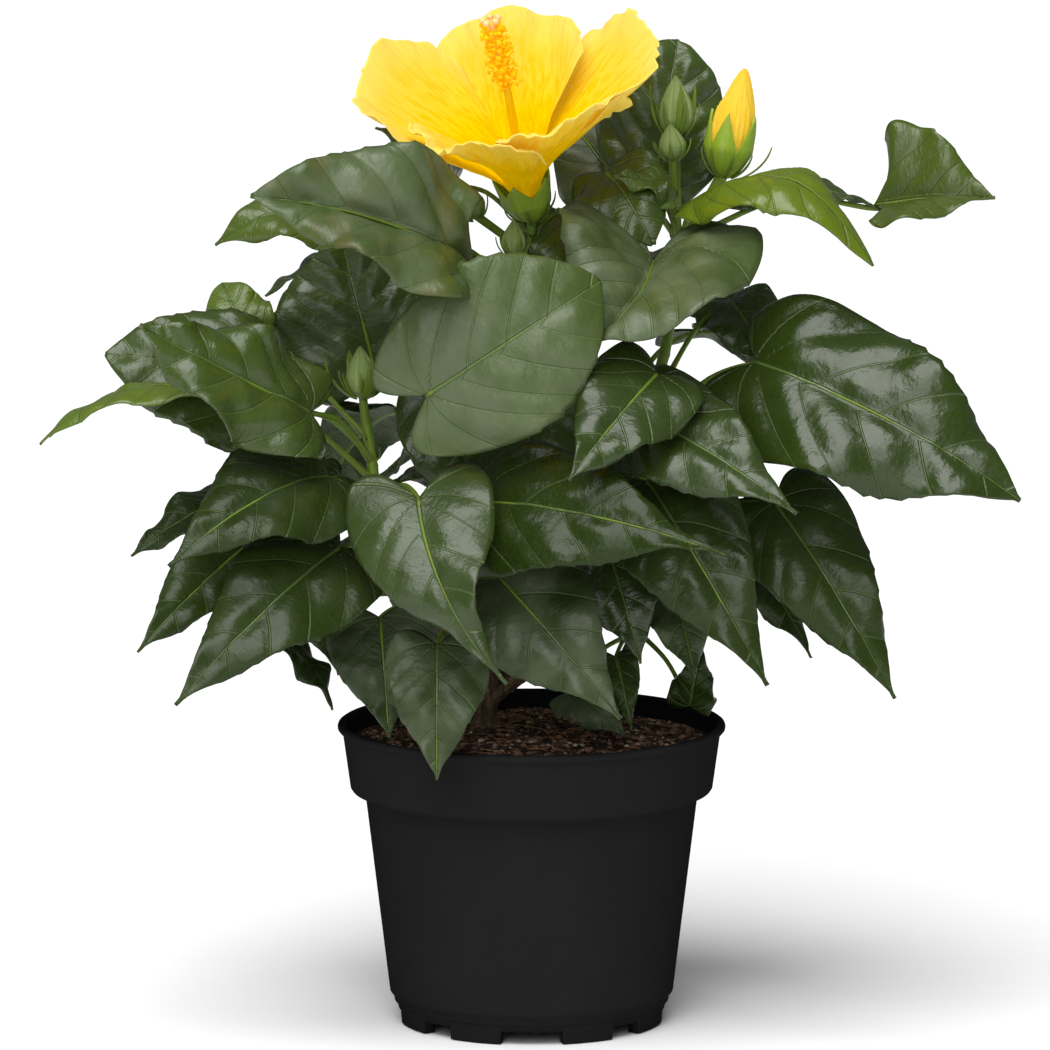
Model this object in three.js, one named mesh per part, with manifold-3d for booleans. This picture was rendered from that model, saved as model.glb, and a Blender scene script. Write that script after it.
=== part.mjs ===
// A young hibiscus shrub in a round nursery pot: a short woody trunk, its boughs, and leafy shoots with buds
// and one open bloom. Millimetres and degrees, +Z up; the bloom opens towards -Y. The origin is at the middle
// of the pot's underside. Every shoot is one solid: its stem, leaf stalks, blades and buds are joined, and it
// stands 0.3 mm clear of the bough that carries it.
import * as THREE from "three";
import { mergeVertices } from "three/addons/utils/BufferGeometryUtils.js";
import Module from "manifold-3d";

const wasm = await Module();
wasm.setup();

// ---------------------------------------------------------------- driving dimensions
const GAP = 0.3; // clearance between solids that touch in the real plant

const POT = {
  height: 101,
  rimRadius: 65, // outside of the rolled lip
  lipDepth: 2.6,
  collarTopRadius: 63.4,
  collarFootRadius: 60.8,
  collarFootHeight: 79.5,
  bodyTopRadius: 55.8,
  bodyFootRadius: 47.6,
  footShoulderHeight: 9,
  footRadius: 44.8,
  footRingWidth: 4.5,
  wall: 1.5,
  floorHeight: 5, // the floor's underside stands this far above the foot ring's edge
  sides: 32,
};
const NOTCH = { height: 4.2, wide: 27, narrow: 16, count: 8 }; // gaps round the foot ring, widths in degrees
const DRAIN = { radius: 5, at: 30, count: 4, sides: 6 };
const SOIL = { top: 97, edge: 94.5, flatRadius: 44, sides: 24 };

const BLADE = {
  thickness: 1.15,
  along: [0, 0.24, 0.62, 1], // from hub to tip
  alongFull: [0, 0.24, 0.55, 0.82, 1], // the same on a blade whose full isn't 0
  wide: [-1, -0.55, 0, 0.55, 1], // across a blade of broad or more
  narrow: [-1, 0, 1],
  broad: 40,
};
// A stalk's head is sunk into its blade.
const STALK = { foot: 1.7, head: 1.3, sides: 3, steps: 2, sink: 5, under: 0.8 };
const BUD = { root: 1.6, neck: 1.3, seat: 1.1, tip: 0.3, sides: 6 };
const STEM_SIDES = 6;

const BLOOM = { foot: [0, -1, 271], axis: [-0.21, -0.33, 1] }; // the foot of its calyx, and the way it faces
const CALYX = {
  radius: 8.2,
  height: 9,
  foot: 1.4, // radius of the cup's foot
  sides: 10,
  lobes: 5,
  lobe: 7.5, // length of a lobe above the cup
  start: 0.42, // turn of the first lobe, in lobes
  sunk: 1.5, // depth of a lobe's root under the cup's brim
  seat: 0.86, // distance of a lobe's root from the axis, in radii
  half: 0.74, // half width of a lobe's root, in radii
  narrowing: 0.88,
  lean: { open: 0.52, furled: 0.22 },
};
const PETAL = {
  throat: 4.5,
  neck: 16,
  halfSpread: 50,
  narrow: 0.9, // share of the spread that the foot has
  round: [0.06, 0.2], // how much the sides fall short of the middle, evenly and at the corners
  opening: 1.3, // powers of the way from throat to rim
  climbing: 2.2,
  tuck: 0.08,
  overlap: 3,
  ruffle: { height: 2, waves: 5.5, shift: 1.7 },
  thickness: 1.1,
  across: [-1, -0.5, 0, 0.5, 1],
  along: [0, 0.13, 0.4, 0.7, 1],
};
const PETALS = [
  { turn: 17, reach: 55, rise: 42 }, // right
  { turn: 89, reach: 49, rise: 44 }, // back
  { turn: 165, reach: 48, rise: 50 }, // left
  { turn: 243, reach: 40, rise: 41 }, // front, on the left
  { turn: 308, reach: 44, rise: 43 }, // front, on the right
];
const COLUMN = {
  length: 56,
  radius: 1.5,
  start: 8, // height of its foot over the seat of the bloom
  foot: 2.2,
  anthers: [4.4, 5],
  neck: 1.6,
  tip: 1,
  sides: 8,
};
const OPENING_BUD = {
  stalk: [51, 15, 262],
  stalkRadii: [1.9, 2.2],
  foot: [64, 12, 284],
  axis: [0.2, 0.05, 1],
  radius: 8.2,
  length: 36,
};

// ---------------------------------------------------------------- small helpers
const vec = (p) => new THREE.Vector3(...p);
const radians = THREE.MathUtils.degToRad;
const mix = THREE.MathUtils.lerp;
const clamp = THREE.MathUtils.clamp;
const alongStem = (places, t) => new THREE.CatmullRomCurve3(places.map(vec)).getPoint(t);

// A repeatable random number from 0 to 1.
function seeded(seed) {
  let state = seed >>> 0;
  return () => {
    state = (Math.imul(state, 1664525) + 1013904223) >>> 0;
    return state / 4294967296;
  };
}

// Two directions square to an axis and to each other, the first as close to +X as it can be.
function squareTo(axis) {
  const up = vec(axis).normalize();
  const side = new THREE.Vector3(1, 0, 0).projectOnPlane(up).normalize();
  return { up, side, back: up.clone().cross(side) };
}

function solidOf(geometry) {
  const bare = geometry.clone();
  for (const name of ["normal", "uv"]) bare.deleteAttribute(name);
  const merged = mergeVertices(bare, 1e-4);
  const vertProperties = merged.attributes.position.array;
  const triVerts = new Uint32Array(merged.index.array);
  return new wasm.Manifold(new wasm.Mesh({ numProp: 3, vertProperties, triVerts }));
}

function geometryOf(solid) {
  const mesh = solid.getMesh();
  const geometry = new THREE.BufferGeometry();
  geometry.setAttribute("position", new THREE.BufferAttribute(mesh.vertProperties, 3));
  geometry.setIndex(new THREE.BufferAttribute(mesh.triVerts, 1));
  geometry.computeVertexNormals();
  return geometry;
}

function solidFrom(points, faces) {
  const geometry = new THREE.BufferGeometry().setFromPoints(points);
  geometry.setIndex(faces);
  return solidOf(geometry);
}

const joined = (solids) => solids.reduce((whole, piece) => whole.add(piece));

// A closed skin over rings of points that all have the same count, flat at both ends.
function loft(rings) {
  const sides = rings[0].length;
  const last = (rings.length - 1) * sides;
  const faces = [];
  for (let i = 0; i < rings.length - 1; i++) {
    for (let j = 0; j < sides; j++) {
      const a = i * sides + j;
      const b = i * sides + ((j + 1) % sides);
      faces.push(a, b, b + sides, a, b + sides, a + sides);
    }
  }
  for (let j = 1; j < sides - 1; j++) {
    faces.push(0, j + 1, j);
    faces.push(last, last + j, last + j + 1);
  }
  return solidFrom(rings.flat(), faces);
}

// A ring of points round a centre, in the plane of the two directions given.
const ringOf = (sides, centre, radius, side, back) =>
  Array.from({ length: sides }, (_, j) => {
    const turn = (2 * Math.PI * j) / sides;
    const across = radius * Math.cos(turn);
    return centre.clone().addScaledVector(side, across).addScaledVector(back, radius * Math.sin(turn));
  });

// A round limb along a list of places, its radius changing evenly through the ones given. margin thickens it
// and pushes its ends out, which makes the shape that its neighbours are cut with.
function limb(places, radii, { sides = STEM_SIDES, steps = 4, margin = 0 } = {}) {
  const curve = new THREE.CatmullRomCurve3(places.map(vec));
  const frames = curve.computeFrenetFrames(steps, false);
  const rings = [];
  for (let i = 0; i <= steps; i++) {
    const at = (i / steps) * (radii.length - 1);
    const low = Math.min(Math.floor(at), radii.length - 2);
    const radius = mix(radii[low], radii[low + 1], at - low) + margin;
    const end = i === 0 ? -1 : Number(i === steps);
    const centre = curve.getPoint(i / steps).addScaledVector(frames.tangents[i], end * margin);
    rings.push(ringOf(sides, centre, radius, frames.normals[i], frames.binormals[i]));
  }
  return loft(rings);
}

// A solid turned round an axis, from [distance, radius] pairs.
function spindle(base, axis, profile, sides) {
  const { up, side, back } = squareTo(axis);
  const rings = profile.map(([distance, radius]) =>
    ringOf(sides, vec(base).addScaledVector(up, distance), radius, side, back),
  );
  return loft(rings);
}

// A thin solid over a surface(u, v), sampled at the lists across and along.
function sheet(surface, across, along, thickness) {
  const step = 1e-3;
  const front = [];
  const rear = [];
  for (const v of along) {
    for (const u of across) {
      const here = surface(u, v);
      const du = surface(u + step, v).sub(surface(u - step, v));
      const dv = surface(u, v + step).sub(surface(u, v - step));
      const normal = du.cross(dv).normalize().multiplyScalar(thickness / 2);
      front.push(here.clone().add(normal));
      rear.push(here.sub(normal));
    }
  }
  const wide = across.length;
  const half = front.length;
  const faces = [];
  const quad = (a, b, c, d) => faces.push(a, b, c, a, c, d);
  for (let i = 0; i < along.length - 1; i++) {
    for (let j = 0; j < wide - 1; j++) {
      const a = i * wide + j;
      quad(a, a + 1, a + wide + 1, a + wide);
      quad(half + a, half + a + wide, half + a + wide + 1, half + a + 1);
    }
    const left = i * wide;
    const right = left + wide - 1;
    quad(left, left + wide, half + left + wide, half + left);
    quad(right, half + right, half + right + wide, right + wide);
  }
  const end = (along.length - 1) * wide;
  for (let j = 0; j < wide - 1; j++) {
    quad(j, half + j, half + j + 1, j + 1);
    quad(end + j, end + j + 1, half + end + j + 1, half + end + j);
  }
  return solidFrom([...front, ...rear], faces);
}

// ---------------------------------------------------------------- leaves
// A leaf is given by its hub, where the stalk meets the blade, its tip, its width, and the lean that turns
// its upper face from the sky towards -Y, in degrees. Its shape may also have:
//   bow    height of the midrib's arch, as a share of the length, and curl, how far the tip drops from it
//   sweep  sideways bend of the midrib
//   fold   how far both halves rise, and cup, how much more they rise at the margin
//   roll   turn of the whole blade about its length, and twist, its further turn towards the tip
//   lobe   how far the base reaches back past the hub, as a share of the length, or under 0 how far it
//          falls short of it
//   wave   height of the margin's ripples in mm, phase where they start
//   climb  how much the stalk rises on its way to the hub, as a share of its sideways reach
//   full   how far the blade keeps its width towards the tip, up to 1, or under 0 how early it loses it
const FLAT = {
  bow: 0.1,
  curl: 0,
  sweep: 0,
  fold: 10,
  cup: -28,
  roll: 0,
  twist: 0,
  lobe: 0.11,
  wave: 2.5,
  phase: 0,
  climb: 0.55,
  full: 0,
};
const leaf = (hub, tip, width, lean, shape = {}) => ({ ...FLAT, hub, tip, width, lean, ...shape });

// Half the width of an ovate blade at v from hub to tip, as a share of its greatest half width. The tip is
// drawn out.
const OUTLINE = { start: 0.12, swell: [0.45, 0.65], taper: [1.12, 0.6], drawn: [0.4, 0.1] };
function outline(v, full) {
  const { start } = OUTLINE;
  const swell = mix(...OUTLINE.swell, Math.max(0, full));
  const taper = mix(...OUTLINE.taper, full);
  const drawn = mix(...OUTLINE.drawn, full);
  const widest = (swell - start * taper) / (swell + taper);
  const shape = (t) => (t + start) ** swell * (1 - t) ** taper * (1 - drawn * t ** 3);
  return Math.max(0.03, shape(clamp(v, 0, 1)) / shape(widest));
}

function bladeSurface(one) {
  const hub = vec(one.hub);
  const chord = vec(one.tip).sub(hub);
  const length = chord.length();
  const along = chord.clone().normalize();
  const lean = radians(one.lean);
  const face = new THREE.Vector3(0, -Math.sin(lean), Math.cos(lean))
    .projectOnPlane(along)
    .normalize()
    .applyAxisAngle(along, radians(one.roll));
  const side = along.clone().cross(face);
  const place = (t) => {
    const arch = 4 * t * (1 - t);
    const drop = t > 0.5 ? ((t - 0.5) * 2) ** 2 : 0;
    return hub
      .clone()
      .addScaledVector(along, length * t)
      .addScaledVector(face, length * (one.bow * arch - one.curl * drop))
      .addScaledVector(side, length * one.sweep * arch);
  };
  return (u, v) => {
    const t = v - (1 - v) ** 3 * one.lobe * Math.sin(0.72 * Math.PI * Math.min(Math.abs(u), 1.2));
    const half = (one.width / 2) * outline(v, one.full);
    const step = 0.01;
    const near = Math.max(t, 0);
    const tangent = place(near + step).sub(place(near - step)).normalize();
    const origin = t < 0 ? place(0).addScaledVector(tangent, length * t) : place(t);
    const turn = radians(one.twist) * v * v;
    const across = tangent.clone().cross(face).applyAxisAngle(tangent, turn).normalize();
    const up = across.clone().cross(tangent);
    const out = Math.abs(u);
    const slope = radians(one.fold + one.cup * out * 0.5);
    const ripple = one.wave * out * out * Math.sin(2 * Math.PI * (2.2 * v + one.phase + (u > 0 ? 0.37 : 0)));
    return origin
      .addScaledVector(across, u * half * Math.cos(slope))
      .addScaledVector(up, out * half * Math.sin(slope) + ripple * Math.min(1, 4 * (1 - v)));
  };
}

function blade(one, margin = 0) {
  const across = one.width >= BLADE.broad ? BLADE.wide : BLADE.narrow;
  const along = one.full === 0 ? BLADE.along : BLADE.alongFull;
  return sheet(bladeSurface(one), across, along, BLADE.thickness + 2 * margin);
}

// The stalk leaves the stem below the hub and rises to it, then runs a little way under the midrib.
function stalk(one, stem, margin = 0) {
  const hub = vec(one.hub);
  const foot = alongStem(stem, 0);
  const head = alongStem(stem, 1);
  const reach = Math.hypot(hub.x - foot.x, hub.y - foot.y);
  const share = (hub.z - one.climb * reach - foot.z) / Math.max(head.z - foot.z, 1);
  const root = alongStem(stem, clamp(share, 0.08, 0.94));
  const bend = root.clone().lerp(hub, 0.55);
  bend.z += 0.12 * root.distanceTo(hub);
  const surface = bladeSurface(one);
  const end = surface(0, STALK.sink / hub.distanceTo(vec(one.tip)));
  const down = surface(0.02, 0).sub(hub).cross(end.clone().sub(hub)).normalize();
  const under = down.multiplyScalar(-STALK.under);
  const places = [root, bend, hub.add(under), end.add(under)].map((p) => p.toArray());
  return limb(places, [STALK.foot, STALK.head], { sides: STALK.sides, steps: STALK.steps, margin });
}

// ---------------------------------------------------------------- buds and calyx
// A closed bud on its stalk.
function bud(root, base, tip, radius) {
  const axis = vec(tip).sub(vec(base));
  const length = axis.length();
  const profile = [
    [-0.6, BUD.seat],
    [length * 0.12, radius * 0.72],
    [length * 0.38, radius],
    [length * 0.68, radius * 0.72],
    [length, BUD.tip],
  ];
  const way = limb([root, base], [BUD.root, BUD.neck], { sides: 4, steps: 1 });
  return way.add(spindle(base, axis.toArray(), profile, BUD.sides));
}

// A cup with pointed lobes, in which petals sit.
function calyx(base, axis, radius, lean) {
  const { up, side } = squareTo(axis);
  const { height, lobe } = CALYX;
  const cup = [
    [-1, CALYX.foot],
    [height * 0.3, radius * 0.8],
    [height * 0.75, radius],
    [height, radius * 0.98],
  ];
  const pieces = [spindle(base, axis, cup, CALYX.sides)];
  for (let i = 0; i < CALYX.lobes; i++) {
    const out = side.clone().applyAxisAngle(up, (2 * Math.PI * (i + CALYX.start)) / CALYX.lobes);
    const across = up.clone().cross(out);
    const surface = (u, v) =>
      vec(base)
        .addScaledVector(up, height - CALYX.sunk + v * lobe)
        .addScaledVector(out, radius * (CALYX.seat + lean * v))
        .addScaledVector(across, CALYX.half * radius * u * (1 - v * CALYX.narrowing));
    pieces.push(sheet(surface, [-1, 1], [0, 1], 1));
  }
  return joined(pieces);
}

// ---------------------------------------------------------------- the bloom
const bloomSeat = vec(BLOOM.foot).addScaledVector(squareTo(BLOOM.axis).up, CALYX.height + GAP);

// A petal is steep in the neck of the funnel and opens above it. Each lies over the next on one side: its
// edges are tucked in there and stand out on the other.
function petalSurface(index) {
  const { up, side, back } = squareTo(BLOOM.axis);
  const { turn: heading, reach: end, rise: top } = PETALS[index];
  const { throat, neck, round } = PETAL;
  const { height, waves, shift } = PETAL.ruffle;
  return (u, v) => {
    const s = Math.max(0, v * (1 - round[0] * u ** 2 - round[1] * u ** 6));
    const rest = Math.max(0, 1 - s);
    const turn = radians(heading + PETAL.halfSpread * u * mix(PETAL.narrow, 1, s));
    const reach = throat + (end - throat) * s ** PETAL.opening * (1 + PETAL.tuck * u * s);
    const rise = neck * (1 - rest ** 4) + (top - neck) * s ** PETAL.climbing;
    const ruffle = height * s ** 3 * Math.sin(waves * u + shift * index);
    return bloomSeat
      .clone()
      .addScaledVector(up, rise + ruffle - PETAL.overlap * u * Math.min(1, s * 2.5))
      .addScaledVector(side, reach * Math.cos(turn))
      .addScaledVector(back, reach * Math.sin(turn));
  };
}

function petals() {
  const throat = [[0, PETAL.throat + 0.3], [COLUMN.start, PETAL.throat + 3]];
  const pieces = [spindle(bloomSeat.toArray(), BLOOM.axis, throat, CALYX.sides)];
  for (let i = 0; i < PETALS.length; i++) {
    pieces.push(sheet(petalSurface(i), PETAL.across, PETAL.along, PETAL.thickness));
  }
  return joined(pieces);
}

// The column that stands out of the throat, thick with anthers towards its end and branched at the tip.
function column() {
  const foot = bloomSeat.clone().addScaledVector(squareTo(BLOOM.axis).up, COLUMN.start + GAP);
  const profile = [
    [0, COLUMN.foot],
    [COLUMN.length * 0.52, COLUMN.radius],
    [COLUMN.length * 0.6, COLUMN.anthers[0]],
    [COLUMN.length * 0.86, COLUMN.anthers[1]],
    [COLUMN.length * 0.93, COLUMN.neck],
    [COLUMN.length, COLUMN.tip],
  ];
  return spindle(foot.toArray(), BLOOM.axis, profile, COLUMN.sides);
}

// The petals of the bud that is about to open, still furled to a point.
function furledPetals() {
  const { foot, axis, radius, length } = OPENING_BUD;
  const seat = vec(foot).addScaledVector(squareTo(axis).up, CALYX.height + GAP);
  const profile = [
    [0, radius * 0.8],
    [length * 0.3, radius * 0.88],
    [length * 0.5, radius * 0.8],
    [length * 0.8, radius * 0.4],
    [length - CALYX.height, 0.4],
  ];
  return spindle(seat.toArray(), axis, profile, COLUMN.sides);
}

// ---------------------------------------------------------------- pot and soil
function lathe(profile, sides) {
  const points = profile.map(([radius, height]) => new THREE.Vector2(radius, height));
  return solidOf(new THREE.LatheGeometry(points, sides).rotateX(Math.PI / 2));
}

function box(size, centre, turn) {
  return solidOf(new THREE.BoxGeometry(...size).translate(...centre).rotateZ(turn));
}

const innerFloor = POT.floorHeight + POT.wall;

function potBody() {
  const ringInner = POT.footRadius - POT.footRingWidth;
  return lathe(
    [
      [0, POT.floorHeight],
      [ringInner, POT.floorHeight],
      [ringInner, 0],
      [POT.footRadius, 0],
      [POT.footRadius + 0.6, POT.footShoulderHeight - 2],
      [POT.bodyFootRadius, POT.footShoulderHeight + 1],
      [POT.bodyTopRadius, POT.collarFootHeight - 2.4],
      [POT.collarFootRadius - 2, POT.collarFootHeight - 1.6],
      [POT.collarFootRadius, POT.collarFootHeight],
      [POT.collarTopRadius, POT.height - POT.lipDepth],
      [POT.rimRadius, POT.height - POT.lipDepth + 0.5],
      [POT.rimRadius, POT.height - 0.6],
      [POT.rimRadius - 0.8, POT.height],
      [POT.collarTopRadius - POT.wall, POT.height],
      [POT.collarFootRadius - POT.wall, POT.collarFootHeight + 1],
      [POT.bodyTopRadius - POT.wall, POT.collarFootHeight - 1],
      [POT.bodyFootRadius - POT.wall, innerFloor],
      [0, innerFloor],
    ],
    POT.sides,
  );
}

function pot() {
  let body = potBody();
  for (let i = 0; i < NOTCH.count; i++) {
    const width = 2 * POT.footRadius * Math.sin(radians(i % 2 ? NOTCH.narrow : NOTCH.wide) / 2);
    const size = [width, POT.footRingWidth * 4, 2 * NOTCH.height];
    body = body.subtract(box(size, [0, -POT.footRadius, 0], ((2 * Math.PI) / NOTCH.count) * i));
  }
  for (let i = 0; i < DRAIN.count; i++) {
    const turn = Math.PI / 4 + (Math.PI / 2) * i;
    const centre = [DRAIN.at * Math.cos(turn), DRAIN.at * Math.sin(turn), POT.floorHeight - 1];
    const through = [[0, DRAIN.radius], [POT.wall + 2, DRAIN.radius]];
    body = body.subtract(spindle(centre, [0, 0, 1], through, DRAIN.sides));
  }
  return body;
}

function soil() {
  const clear = POT.wall + 2 * GAP;
  return lathe(
    [
      [0, innerFloor + GAP],
      [POT.bodyFootRadius - clear, innerFloor + GAP],
      [POT.bodyTopRadius - clear, POT.collarFootHeight - 1],
      [POT.collarFootRadius - clear - 0.6, POT.collarFootHeight + 1.6],
      [POT.collarTopRadius - clear - 0.8, SOIL.edge],
      [SOIL.flatRadius, SOIL.top],
      [0, SOIL.top],
    ],
    SOIL.sides,
  );
}

// ---------------------------------------------------------------- trunk and boughs
// Limbs that rise from the soil start under it and are cut off flat just above it. A bough starts on the line
// of the limb that carries it, and is cut clear of it and of the boughs before it.
const LIMBS = {
  trunk: {
    places: [[-15, 11, 88], [-15.4, 10.6, 100], [-14.6, 9.8, 110], [-13, 9, 122]],
    radii: [7.5, 4, 3.8, 3.4],
  },
  second_stem: { places: [[23, 13, 88], [25, 12, 104], [34, 6, 128]], radii: [3.6, 2.4, 2] },
  bough_bloom: { places: [[-13, 9, 121], [-11, 7, 138], [-8, 5, 158]], radii: [3.2, 2.9, 2.7] },
  bough_left: { places: [[-14.6, 9.4, 112], [-34, -2, 138], [-49, -13, 170]], radii: [2.6, 2.5, 2.4] },
  bough_right: { places: [[-13.4, 9.4, 116], [8, 16, 150], [40, 16, 206]], radii: [2.8, 2.6, 2.4] },
  bough_front: { places: [[-13.6, 9.4, 117], [-14, -12, 128], [-15, -27, 146]], radii: [2.2, 2.1, 2] },
  bough_right_low: { places: [[-14.4, 9.8, 106], [12, 0, 130], [33, -9, 160]], radii: [2.4, 2.2, 2] },
  bough_left_low: { places: [[-15, 10.2, 104], [-34, 12, 122], [-46, 6, 142]], radii: [2.3, 2.1, 2] },
  bough_back_left: { places: [[-14.2, 9.6, 111], [-26, 24, 146], [-33, 31, 188]], radii: [2.6, 2.4, 2.2] },
  bough_back_right: { places: [[-14.8, 10, 107], [8, 30, 136], [27, 37, 176]], radii: [2.6, 2.4, 2.2] },
  bough_back: { places: [[-14, 9.8, 114], [-12, 24, 126], [-8, 32, 140]], radii: [2.2, 2.1, 2] },
};

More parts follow.
